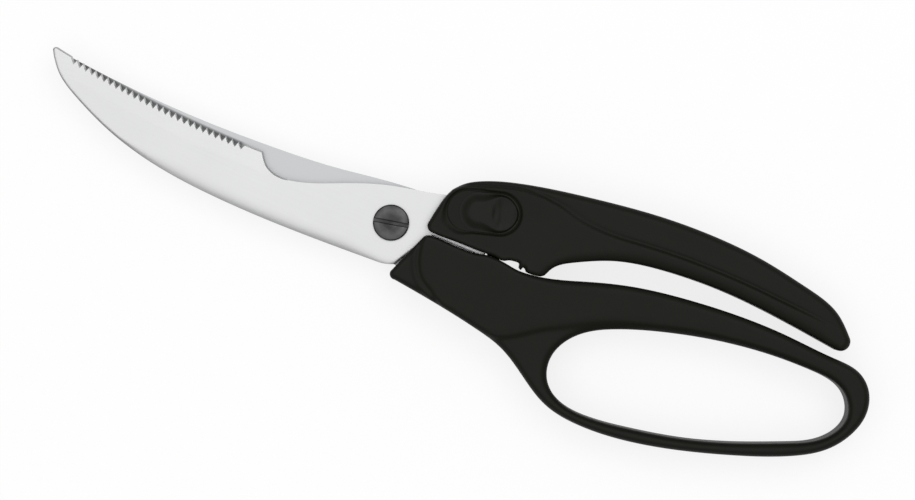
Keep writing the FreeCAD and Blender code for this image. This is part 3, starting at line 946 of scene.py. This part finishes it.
    def wall(self, sheets: Sheets, run: Array) -> None:
        """Side wall, with the slot that the other half swings in.

        In the slot every point closer to the pivot than the slot's radius moves out to
        that radius.

        Args:
            sheets: Sheets to add to.
            run: Closed line of points round the handle.
        """
        top = self.face(run, under=True)
        low, high, radius = self.slot
        rise = np.linspace(1, 0, self.wall_steps + 1)[:, None]
        upper = high + (top - high) * rise
        lower = low - (top + low) * rise[::-1]
        far = np.linalg.norm(run, axis=1)
        ratio = radius / far
        push = run * np.where(ratio > self.slot_margin, ratio, 1.0)[:, None]
        rows = [lifted(run, z) for z in upper]
        rows += [lifted(push, z) for z in np.linspace(high, low, self.slot_rows)]
        rows += [lifted(run, z) for z in lower]
        sheets.add(np.stack(rows), 0.1, closed=True)

    def hollow(self, sheets: Sheets, inner: Array) -> None:
        """Wall of the opening, or the recess with its floor and a closed underside.

        Args:
            sheets: Sheets to add to.
            inner: Points round the opening.
        """
        top = self.face(inner)
        floor = -top if self.blind is None else self.blind
        sheets.add(curtain(inner, top, floor, self.hollow_rows), 0.05, closed=True)
        if self.blind is None:
            return
        centre = inner.mean(axis=0)
        shrink = np.linspace(0, 1, self.floor_rings)[:, None, None]
        disc = inner[None] * (1 - shrink) + centre * shrink
        sheets.add(lifted(disc, self.blind), 0.0, closed=True)
        sheets.add(lifted(disc, -self.face(disc, under=True)), self.worn(disc), closed=True)


def upper_handle() -> Handle:
    """Closed handle with the recess of the slide lock.

    Returns:
        The handle, ready to build.
    """
    low = spline([(11.2, 2.0), (13.3, 1.9), (18.7, 2.15), (24.8, 2.25), (28.5, 2.45), (31, 2.5),
                  (33.5, 2.45), (34.6, 3.05), (36.5, 3.5), (37.95, 3.4), (38.2, 2.6),
                  (38.45, 1.85), (38.8, 1.85), (39.05, 2.6), (39.5, 3.1), (39.95, 2.8),
                  (40.25, 2.15), (40.9, 1.95), (43.8, 2.15), (45.3, 2.75), (46.3, 4.7),
                  (52, 9.7), (62, 14.4), (78, 17.7), (95, 18.6), (115, 17.4), (130, 15.8)])
    tail = arc_through((130, 15.8), (132.3, 17.3), (132, 20.2))
    top = spline([(132, 20.2), (126, 25.4), (115, 28.8), (100, 31.2), (85, 31.9), (70, 31.2),
                  (50, 28.5), (30, 24.5), (18.6, 20.5), (14.7, 18.0), (12.4, 15.4)])
    front = spline([(12.4, 15.4), (11.45, 13.2), (10.75, 10.4), (10.2, 7.4), (9.8, 4.6)])
    heel = arc_through((9.8, 4.6), (10.0, 2.85), (11.2, 2.0))
    outline = [Rim(low, (11, 20, 40, 52, 70, 120, 130), (0.9, 1.0, 1.2, 3.0, 4.2, 3.8, 2.2),
                   (1.1, 1.2, 1.4, 2.1, 2.5, 2.3, 2.0)),
               Rim(tail, (130, 132.3), (2.2, 2.2), (2.0, 2.0)),
               Rim(top, (12, 30, 60, 120, 132), (1.8, 2.0, 2.4, 2.4, 2.2),
                   (1.7, 1.9, 2.1, 2.1, 2.0)),
               Rim(front, (9.8, 12.4), (1.5, 1.8), (1.5, 1.8)),
               Rim(heel, (9.8, 11.2), (1.5, 0.9), (1.5, 1.1))]
    recess = Rim(lock_stadium(8.75 + LOCK_TRAVEL, 8.75, 5.75), (12, 15, 18, 22, 40),
                 (3.2, 3.2, 1.9, 0.8, 0.8), (0.72, 0.72, 0.72, 0.68, 0.68), soft=True)
    swell = spline([(6, 13.0), (12, 16.4), (16, 18.3), (20, 20.1), (24, 21.6), (28, 22.8),
                    (32, 23.6), (36, 23.8), (40, 23.6), (44, 23.0), (48, 22.0), (52, 21.5),
                    (56, 21.3), (60, 21.4), (68, 22.2), (76, 22.9), (90, 23.4), (100, 23.3),
                    (110, 22.8), (120, 22.2), (128, 21.4), (136, 20.2)])
    pairs = [(at_lock(7.0, 5.4), (38, 26.3)),
             (at_lock(3.0, 5.75), (30, 24.5)), (at_lock(-6.3, 5.75), (15.0, 18.0)),
             (at_lock(-10.4, 4.1), (11.2, 12.6)), (at_lock(-12.05, 0), (9.7, 8.4)),
             (at_lock(-10.4, -4.1), (10.4, 4.2)), (at_lock(-6.3, -5.75), (16.0, 2.3)),
             (at_lock(3.0, -5.75), (31.0, 3.1)), (at_lock(7.0, -5.4), (38, 3.2))]
    return Handle("upper_handle_moulding", outline, recess, 38.0, pairs,
                  [Crease(swell, 0.40, 1.2, 0.75, 0.65, 110.0, 132.0)],
                  (-3.45, 0.05, 13.4), blind=7.2, corners=((130, 15.8), (132, 20.2)))


def lower_handle() -> Handle:
    """Loop handle.

    Returns:
        The handle, ready to build.
    """
    nose = arc_through((5.2, -12.6), (5.6, -13.9), (7.2, -14.4))
    low = spline([(7.2, -14.4), (20, -16), (34, -18.3), (42, -20.4), (50, -24.8), (60, -30.4),
                  (71, -32.05), (85, -30.9), (100, -27.5), (115, -22.7), (130, -16.5),
                  (138, -11.2), (143, -4.2), (144.55, 2.3), (142.3, 9.2), (138.2, 12.4),
                  (130, 13.4), (115, 14.1), (100, 13.9), (85, 12.5), (70, 9.9), (58, 6.3),
                  (47, 2.75), (41.5, 1.75), (37.4, 1.6), (34, 2.05), (31, 2.25), (28.4, 2.1),
                  (25.6, 1.35), (22, 1.05), (17, 1.05), (13.5, 1.1), (11.8, 0.95)])
    lip = arc_through((11.8, 0.95), (10.6, 0.55), (9.9, -0.4))
    front = np.linspace((9.9, -0.4), (5.2, -12.6), 50)
    turn = int(np.argmax(low[:, 0]))
    outline = [Rim(nose, (5, 8), (1.5, 1.8), (1.4, 1.7)),
               Rim(low[:turn + 1], (8, 20, 40, 50, 62, 144), (1.8, 2.0, 2.2, 2.2, 2.0, 2.0),
                   (1.7, 1.9, 2.0, 2.1, 2.1, 2.0)),
               Rim(low[turn:], (12, 36, 50, 80, 130, 144), (0.9, 1.1, 2.0, 2.4, 2.2, 2.0),
                   (1.1, 1.2, 1.8, 2.0, 2.0, 2.0)),
               Rim(lip, (9, 12), (1.2, 0.9), (1.2, 1.1)),
               Rim(front, (5, 10), (1.3, 1.2), (1.2, 1.2))]
    hole = spline([(56.3, -17.5), (58, -24), (63.5, -28.0), (72, -29.0), (85, -27.3), (100, -24),
                   (115, -18.9), (127, -13.8), (136.3, -8.2), (139.8, -0.5), (136.5, 5.4),
                   (126, 7.8), (112, 7.2), (98, 5.2), (84, 1.8), (70, -3.1), (61, -8.6)],
                  closed=True)
    opening = Rim(hole, (56, 60, 90, 120, 140), (2.6, 2.2, 2.2, 2.0, 2.0), (2.0,) * 5)
    shoulder = spline([(150, 11.0), (115, 9.8), (100, 7.9), (90, 6.0), (80, 3.2), (70, 0.2),
                       (63, -2.9), (57, -6.4), (50, -10.4), (45, -14.0), (40, -16.9),
                       (36, -18.3), (30, -20.0), (24, -21.5)])
    facet = spline([(24.0, -19.5), (20.5, -15.8), (17, -13.3), (14, -11.5), (12, -9.0),
                    (10.7, -6.0), (10.0, -3.0), (9.6, 0.5), (9.4, 4.0)])
    pairs = [((57.2, -22.5), (50, -24.8)), ((59.5, -26), (56, -28.6)),
             ((63.5, -28.0), (62, -31.1)), ((72, -29.0), (72, -32.1)), ((85, -27.3), (85.5, -30.8)),
             ((100, -24), (101, -27.2)), ((115, -18.9), (116, -22.3)),
             ((127, -13.8), (129, -16.9)), ((136.3, -8.2), (139.5, -9.7)),
             ((139.8, -0.5), (144.5, 1.0)), ((136.5, 5.4), (140.8, 10.9)),
             ((126, 7.8), (128, 13.5)), ((112, 7.2), (112.5, 14.1)), ((98, 5.2), (97, 13.7)),
             ((84, 1.8), (80, 11.8)), ((70, -3.1), (63, 7.9)), ((61, -8.6), (50, 3.6))]
    return Handle("lower_handle_moulding", outline, opening, 50.0, pairs,
                  [Crease(shoulder, 1.0, 2.3, 0.12, 0.7, 90.0, 135.0),
                   Crease(facet, 0.75, 2.4, 0.6, 0.8)],
                  (-0.05, 3.45, 12.7), corners=((10.6, 0.55), (5.6, -13.9)))


# ------------------------------------------------------------------ blade


@dataclass(frozen=True)
class ToothedBlade:
    """Front blade: toothed edge, bone notch, ground bevel and rounded spine."""

    reach: float = 107.25
    foot: float = 0.05
    face: float = 3.05
    radius: float = 345.0
    centre: tuple[float, float] = (-49.68, 349.385)
    first: float = -101.5
    heel: float = -46.5
    pitch: float = 1.96
    depth: float = 1.3
    teeth: int = 28
    bevel: float = 5.5
    bevel_drop: float = 0.45
    lip: float = 0.5
    lip_drop: float = 0.55
    gullet_drop: float = 0.9
    gullet_reach: float = 0.55
    tip_end: float = -105.6
    notch_start: float = -41.4
    bevel_end: float = -35.5
    bevel_fade: float = 5.0
    lip_end: float = -30.0
    lip_fade: float = 6.0
    spine_places: tuple[float, ...] = (-106.0, -80.0, -62.0, -10.0, 12.0)
    spine_wide: tuple[float, ...] = (0.8, 1.1, 4.2, 4.0, 0.5)
    spine_deep: tuple[float, ...] = (0.25, 0.40, 0.85, 0.85, 0.05)
    ricasso: float = 11.7
    tang_low: float = 1.35
    tang_end: float = 27.9
    wear_reach: float = 0.5
    wall_rows: int = 5
    across: int = 56

    def arc(self, x: Array) -> Array:
        """Height in plan of the arc through the tooth tips.

        Args:
            x: Places along the blade.

        Returns:
            y of the arc.
        """
        return self.centre[1] - np.sqrt(self.radius ** 2 - (x - self.centre[0]) ** 2)

    def edge(self) -> Array:
        """Upper outline: blunt tip, teeth, heel, bone notch and tang.

        Each tooth gap runs down the tooth's long side to 0.7 of the pitch and back up to
        the arc at 0.96 of it.

        Returns:
            Points, with x rising.
        """
        tip = arc_through((-self.reach, 8.2), (-106.7, 8.9),
                          (self.tip_end, float(self.arc(self.tip_end))))
        lead = np.linspace(self.tip_end, self.first, 14)[1:-1]
        share = np.array([0.0, 0.175, 0.35, 0.525, 0.70, 0.765, 0.83, 0.895, 0.96])
        sink = np.interp(share, [0.0, 0.70, 0.96], [0.0, 1.0, 0.0])
        x = self.first + self.pitch * (np.arange(self.teeth)[:, None] + share[None])
        saw = self.arc(x) - self.depth * sink[None]
        end = np.linspace(self.heel + 0.1, self.notch_start, 14)
        notch = spline([(self.notch_start, float(self.arc(self.notch_start))), (-38.6, 1.1),
                        (-34, -0.3), (-28, 0.6), (-16, 5.4), (-4, 9.7), (9.5, 12.8),
                        (20, 16.2), (self.tang_end, 18.6)], 0.45)
        return np.concatenate([tip, np.stack([lead, self.arc(lead)], axis=1),
                               np.stack([x.ravel(), saw.ravel()], axis=1),
                               np.stack([end, self.arc(end)], axis=1), notch[1:]])

    def spine(self) -> Array:
        """Lower outline from the tip along the spine and ricasso to the tang.

        Returns:
            Points, with x rising.
        """
        back = spline([(0.0, -self.ricasso), (-24.679, -12.74), (-48.285, -12.67),
                       (-68.0282, -10.88), (-84.0159, -6.91), (-96.0335, -1.8),
                       (-103.008, 2.6), (-106.2, 6.4)])[::-1]
        turn = np.radians(np.linspace(-90, -62, 12))[1:]
        round_end = self.ricasso * np.stack([np.cos(turn), np.sin(turn)], axis=1)
        return np.concatenate([[[-self.reach, 8.2]], back, round_end,
                               [[12.2, self.tang_low], [self.tang_end, self.tang_low]]])

    def build(self, material: bpy.types.Material) -> bpy.types.Object:
        """Make the blade between its two outlines.

        z = face - k (1 - d/w)^2 near the spine, with d the distance from it, less the bevel,
        which falls evenly from its shoulder to the edge, less a short slope into each gullet,
        and less the lip of the edge, m (1 - e/b)^2, with e the distance below the outline.

        Args:
            material: Its material.

        Returns:
            The object.
        """
        top, line = self.edge(), self.spine()
        x = top[:, 0][:, None]
        low = np.interp(x, line[:, 0], line[:, 1])
        t = crowded(self.across)[None] ** 0.85
        y = low * (1 - t) + top[:, 1][:, None] * t
        slope = np.gradient(line[:, 1], line[:, 0])
        lean = 1 / np.hypot(1, np.interp(x, line[:, 0], slope))
        wide = np.interp(x, self.spine_places, self.spine_wide)
        deep = np.interp(x, self.spine_places, self.spine_deep)
        inside = 1 - np.clip((y - low) * lean / wide, 0, 1)
        z = self.face - deep * inside ** 2
        out = np.hypot(x - self.centre[0], y - self.centre[1]) - self.radius
        ramp = np.clip((self.bevel - out) / self.bevel, 0, 1.2)
        z = z - self.bevel_drop * ramp * smooth((self.bevel_end - x) / self.bevel_fade)
        notched = (self.arc(x) - top[:, 1][:, None]) / self.depth
        gullet = np.where((x > self.first) & (x < self.heel), np.clip(notched, 0, 1), 0)
        under = top[:, 1][:, None] - y
        z = z - self.gullet_drop * gullet * smooth(1 - under / self.gullet_reach)
        lip = np.clip(1 - under / self.lip, 0, 1) ** 2
        z = z - self.lip_drop * lip * smooth((self.lip_end - x) / self.lip_fade)
        plan = np.stack([x + 0 * y, y], axis=-1)
        sheets = Sheets()
        wear = np.exp(-(under / self.wear_reach) ** 2)
        sheets.add(lifted(plan, z), wear)
        sheets.add(lifted(plan, self.foot), wear)
        for side in (0, -1):
            sheets.add(curtain(plan[:, side], z[:, side], self.foot, self.wall_rows), 0.3)
        sheets.add(curtain(plan[-1], z[-1], self.foot, self.wall_rows), 0.0)
        return sheets.build("toothed_blade_ground", material)


# ------------------------------------------------------------------ pivot


@dataclass(frozen=True)
class ScrewHead:
    """Low domed head with one driver slot, and its shank."""

    radius: float = 5.12
    seat: float = 3.10
    top: float = 4.80
    crown: float = 0.45
    edge: float = 0.45
    slot_half: float = 0.42
    slot_deep: float = 0.85
    slot_turn: float = 12.0
    shank: float = 2.0
    foot: float = -5.2
    lighter_ring_at: float = 0.72
    wall_rows: int = 5

    def build(self, material: bpy.types.Material) -> bpy.types.Object:
        """Make the screw.

        In plan x = u sqrt(R^2 - y^2), y = v R. z = top - crown (r/R)^2 - edge rounding, and
        between the walls of the slot its floor.

        Args:
            material: Its material.

        Returns:
            The object.
        """
        outer = crowded(36)[18:] * 2 - 1
        s = self.slot_half / self.radius
        bank = np.array([s * 1.02, s * 1.10, s * 1.25])
        half = np.concatenate([[0.0, s * 0.5, s * 0.9, s], bank, outer[outer > s * 1.5]])
        v = np.concatenate([-half[:0:-1], half])[None]
        u = crowded(64)[:, None] * 2 - 1
        y = v * self.radius + 0 * u
        x = u * np.sqrt(np.maximum(self.radius ** 2 - y ** 2, 0))
        far = np.hypot(x, y)
        inside = 1 - np.clip((self.radius - far) / self.edge, 0, 1)
        z = (self.top - self.crown * (far / self.radius) ** 2
             - self.edge * (1 - np.sqrt(np.maximum(1 - inside ** 2, 0))))
        sunk = np.clip((s * 1.12 - np.abs(v)) / (s * 0.12), 0, 1) + 0 * u
        z = z - sunk * np.maximum(z - (self.top - self.slot_deep), 0)
        turn = math.radians(self.slot_turn)
        plan = np.stack([x * math.cos(turn) - y * math.sin(turn),
                         x * math.sin(turn) + y * math.cos(turn)], axis=-1)
        sheets = Sheets()
        # Lighter colour on a ring round 0.72 of the head's radius, kept out of the slot.
        lighter_ring = np.clip(1 - np.abs(far / self.radius - self.lighter_ring_at) * 3.0, 0, 1)
        sheets.add(lifted(plan, z), lighter_ring * (1 - sunk))
        run = border(plan)
        sheets.add(curtain(run, border(z), self.seat, self.wall_rows), 0.0, closed=True)
        ring = np.array([1.0, self.shank / self.radius, self.shank / self.radius, 0.0])
        stem = np.array([self.seat, self.seat, self.foot, self.foot])
        rows = [lifted(run * r, h) for r, h in zip(ring, stem)]
        sheets.add(np.stack(rows), 0.0, closed=True)
        return sheets.build("pivot_screw_head", material)


# ------------------------------------------------------------------ slide lock

LOCK_CENTRE = (24.5, 13.3)
LOCK_TURN = math.radians(17.0)
LOCK_TRAVEL = 3.3


def at_lock(x: float | Array, y: float | Array) -> tuple[Any, Any]:
    """Turn the lock's own plan coordinates into the handle's.

    Args:
        x: Along the travel, toward the tail.
        y: Across it.

    Returns:
        Plan coordinates.
    """
    cos, sin = math.cos(LOCK_TURN), math.sin(LOCK_TURN)
    return LOCK_CENTRE[0] + x * cos - y * sin, LOCK_CENTRE[1] + x * sin + y * cos


def lock_stadium(front: float, rear: float, half: float, count: int = 60,
                 even_count: int = 260) -> Array:
    """Outline with round ends in the lock's axes, counter-clockwise.

    Args:
        front: Reach toward the pivot.
        rear: Reach toward the tail.
        half: Half width.
        count: Points on each end before they are spread.
        even_count: Points spread evenly round the outline, one more than it keeps.

    Returns:
        Closed line of plan points.
    """
    turn = np.linspace(-math.pi / 2, math.pi / 2, count)
    right = np.stack([rear - half + half * np.cos(turn), half * np.sin(turn)], axis=1)
    left = np.stack([half - front - half * np.cos(turn), -half * np.sin(turn)], axis=1)
    run = np.concatenate([right, left])
    ring = np.concatenate([run, run[:1]])
    length = travelled(ring)
    even = sampled(ring, np.linspace(0, length[-1], even_count)[:-1])
    return np.stack(at_lock(even[:, 0], even[:, 1]), axis=1)


@dataclass(frozen=True)
class LockButton:
    """Thumb button: raised block in front, scooped dish behind it."""

    half_long: float = 8.5
    half_wide: float = 5.5
    top: float = 8.5
    foot: float = 7.22
    edge: float = 0.9
    edge_front: float = 3.3
    edge_deep: float = 1.05
    dish_at: float = 5.2
    dish_long: float = 3.0
    dish_deep: float = 0.85
    dish_wide: float = 4.6
    dent_at: float = 1.6
    dent_long: float = 0.8
    dent_wide: float = 2.4
    dent_deep: float = 0.35
    crown: float = 0.12
    front_fade: float = 6.0
    least: float = 0.05
    steps: int = 80

    def build(self, material: bpy.types.Material) -> bpy.types.Object:
        """Make the button.

        In plan x = u (L + sqrt(W^2 - y^2)) and y = v W. The top sinks by k s(1 - d/w) at the
        distance d inside the rim, with the eased ramp s, by a dish behind the block,
        exp(-|x/a|^4 - (y/b)^4), by a shallow dent, exp(-(x/a)^2 - (y/b)^2), and by a crown
        c (y/W)^2. It never sinks below the foot.

        Args:
            material: Its material.

        Returns:
            The object.
        """
        u = crowded(self.steps)[:, None] * 2 - 1
        v = crowded(self.steps // 2)[None] * 2 - 1
        straight = self.half_long - self.half_wide
        y = v * self.half_wide + 0 * u
        x = u * (straight + np.sqrt(np.maximum(self.half_wide ** 2 - y ** 2, 0)))
        beyond = np.maximum(np.abs(x) - straight, 0)
        far = self.half_wide - np.hypot(beyond, y)
        front = smooth(0.5 - x / self.front_fade)
        reach = self.edge + (self.edge_front - self.edge) * front
        rim = self.edge_deep * smooth(1 - np.clip(far / reach, 0, 1))
        dish = self.dish_deep * np.exp(-np.abs((x - self.dish_at) / self.dish_long) ** 4
                                       - (y / self.dish_wide) ** 4)
        dent = self.dent_deep * np.exp(-((x - self.dent_at) / self.dent_long) ** 2
                                       - (y / self.dent_wide) ** 2)
        crown = self.crown * (y / self.half_wide) ** 2 + dent
        z = np.maximum(self.top - rim - dish - crown, self.foot + self.least)
        plan = np.stack(at_lock(x, y), axis=-1)
        sheets = Sheets()
        sheets.add(lifted(plan, z), 0.25)
        sheets.add(lifted(plan, self.foot), 0.0)
        sheets.add(curtain(border(plan), border(z), self.foot, 2), 0.2, closed=True)
        return sheets.build("lock_thumb_button", material)


# ------------------------------------------------------------------ spring


@dataclass(frozen=True)
class CoilSpring:
    """Compression spring between the handles."""

    place: float = 30.9
    foot: float = -5.0
    top: float = 10.25
    radius: float = 2.2
    wire: float = 0.4
    turns: float = 7.0
    steps: int = 48
    sides: int = 16

    def build(self, material: bpy.types.Material) -> bpy.types.Object:
        """Make the spring.

        The centre line is (r cos a, foot + rise a, r sin a); a circle of the wire's radius
        is carried along it, square to its direction.

        Args:
            material: Its material.

        Returns:
            The object.
        """
        turn = np.linspace(0, 2 * math.pi * self.turns, int(self.turns * self.steps))[:, None]
        around = np.linspace(0, 2 * math.pi, self.sides, endpoint=False)[None]
        low, high = self.foot + self.wire, self.top - self.wire
        rise = (high - low) * turn / turn[-1]
        out = self.radius + self.wire * np.cos(around)
        grid = np.stack([self.place + out * np.cos(turn),
                         low + rise + self.wire * np.sin(around),
                         out * np.sin(turn)], axis=-1)
        sheets = Sheets()
        sheets.add(grid, 0.0, closed=True)
        for end in (0, -1):
            tip = np.stack([grid[end], np.broadcast_to(grid[end].mean(axis=0), grid[end].shape)])
            sheets.add(tip, 0.0, closed=True)
        return sheets.build("handle_spring_coil", material)


# ------------------------------------------------------------------ studio


@dataclass(frozen=True)
class Studio:
    """Pale floor, soft lights and the camera over the shears."""

    view_wide: float = 0.2593
    centre: tuple[float, float] = (0.00163, 0.0002)
    turn: float = 22.9
    height: float = 0.95
    glow: float = 0.79
    fill: float = 0.45
    floor_wide: float = 6.0
    floor_colour: Colour = (0.94, 0.94, 0.94, 1.0)
    white: Colour = (1.0, 1.0, 1.0, 1.0)
    sensor: float = 36.0

    def build(self) -> None:
        """Make floor, world, lights and camera, and set how colours are shown."""
        bpy.context.scene.view_settings.view_transform = "Standard"
        self.floor()
        self.world()
        self.lamp("key", 1.2, (0.40, 0.45, 0.95), 0.5)
        self.lamp("overhead", 19.0, (-0.10, 0.05, 1.5), 2.2)
        self.camera()

    def floor(self) -> None:
        """Floor that the camera sees as white, with the shadow kept."""
        bpy.ops.mesh.primitive_plane_add(size=self.floor_wide)
        floor = bpy.context.object
        floor.name = "floor"
        graph = Graph("floor_white")
        graph.surface(Base_Color=self.floor_colour, Roughness=0.9, Specular_IOR_Level=0.0)
        seen = graph.node("ShaderNodeLightPath", {}, {}, "Is Camera Ray")
        for ray in ("Is Glossy Ray", "Is Transmission Ray"):
            also = graph.node("ShaderNodeLightPath", {}, {}, ray)
            seen = graph.math("MAXIMUM", seen, also)
        glow = graph.node("ShaderNodeEmission", {}, {"Color": self.white, "Strength": 1.0})
        both = graph.node("ShaderNodeMixShader", {},
                          {0: seen * self.glow, 1: Wire(graph, graph.shader.outputs[0]), 2: glow})
        graph.feed(graph.tree.nodes["Material Output"].inputs["Surface"], both)
        floor.data.materials.append(graph.material)

    def world(self) -> None:
        """White world with a plain fill."""
        world = bpy.data.worlds.new("studio")
        bpy.context.scene.world = world
        world.use_nodes = True
        back = world.node_tree.nodes["Background"]
        back.inputs["Color"].default_value = self.white
        back.inputs["Strength"].default_value = self.fill

    def lamp(self, name: str, watts: float, place: tuple[float, float, float],
             size: float) -> None:
        """Add a square soft light aimed at the middle.

        Args:
            name: Name of the light.
            watts: Power.
            place: Position.
            size: Side of the square.
        """
        data = bpy.data.lights.new(name, "AREA")
        data.energy = watts
        data.size = size
        lamp = bpy.data.objects.new(name, data)
        bpy.context.scene.collection.objects.link(lamp)
        turn = math.radians(self.turn)
        x = place[0] * math.cos(turn) - place[1] * math.sin(turn)
        y = place[0] * math.sin(turn) + place[1] * math.cos(turn)
        lamp.location = (x, y, place[2])
        aim = bpy.context.scene.cursor.location - lamp.location
        lamp.rotation_euler = aim.to_track_quat("-Z", "Y").to_euler()

    def camera(self) -> None:
        """Long lens straight above, turned so that the handles point down to the right."""
        data = bpy.data.cameras.new("camera")
        data.sensor_width = self.sensor
        data.lens = data.sensor_width * self.height / self.view_wide
        camera = bpy.data.objects.new("camera", data)
        bpy.context.scene.collection.objects.link(camera)
        camera.location = (*self.centre, self.height + PIVOT[2] * MM)
        camera.rotation_euler = (0.0, 0.0, math.radians(self.turn))
        bpy.context.scene.camera = camera


# ------------------------------------------------------------------ assembly


def dress(node: bpy.types.Object, material: bpy.types.Material) -> None:
    """Give a CAD node its material.

    Args:
        node: Object of the node.
        material: Material.
    """
    node.data.materials.clear()
    node.data.materials.append(material)
    LOG.info("%s dressed", node.name)


def place(piece: bpy.types.Object, body: Body, slot: Slot, *nodes: str) -> None:
    """Attach a piece to its body and hide the CAD nodes that it stands for.

    Args:
        piece: The piece.
        body: Body it moves with.
        slot: Material slot; not used.
        *nodes: CAD nodes that it replaces.
    """
    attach(piece, body.value)
    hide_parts(*nodes)


def main() -> None:
    """Build the scene."""
    logging.basicConfig(level=logging.INFO, format="%(message)s")
    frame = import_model()
    nodes = frame["nodes"]

    nylon = MouldedNylon().make()
    button = MouldedNylon("button_nylon", roughness=0.42).make()
    steel = BrushedSteel().make()
    # Rear blade: a darker, bluer copy of the blade steel, painted shade; it also carries the
    # painted shade strip under the teeth.
    rear_steel_painted_shade = BrushedSteel("rear_steel_painted_shade", base=grey(0.40, 0.014),
                              dark=grey(0.36, 0.014), shade=0.9).make()
    dark = BurnishedSteel().make()
    wire = SpringWire().make()

    place(upper_handle().build(nylon), Body.TOOTHED, Slot.HANDLE, "upper_handle")
    place(lower_handle().build(nylon), Body.LOOP, Slot.HANDLE, "lower_handle")
    place(LockButton().build(button), Body.LOCK, Slot.BUTTON, "lock_button")
    coil = CoilSpring()
    spring = coil.build(wire)
    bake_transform(spring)
    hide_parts("handle_spring")

    place(ToothedBlade().build(steel), Body.TOOTHED, Slot.BLADE, "toothed_blade")
    dress(nodes["plain_blade"], rear_steel_painted_shade)
    place(ScrewHead().build(dark), Body.LOOP, Slot.DARK, "pivot_screw")
    for name in ("pivot_nut", "lock_bolt", "lock_rivet"):
        dress(nodes[name], dark)
    dress(nodes["tension_washer"], wire)

    Studio().build()


if __name__ == "__main__":
    main()
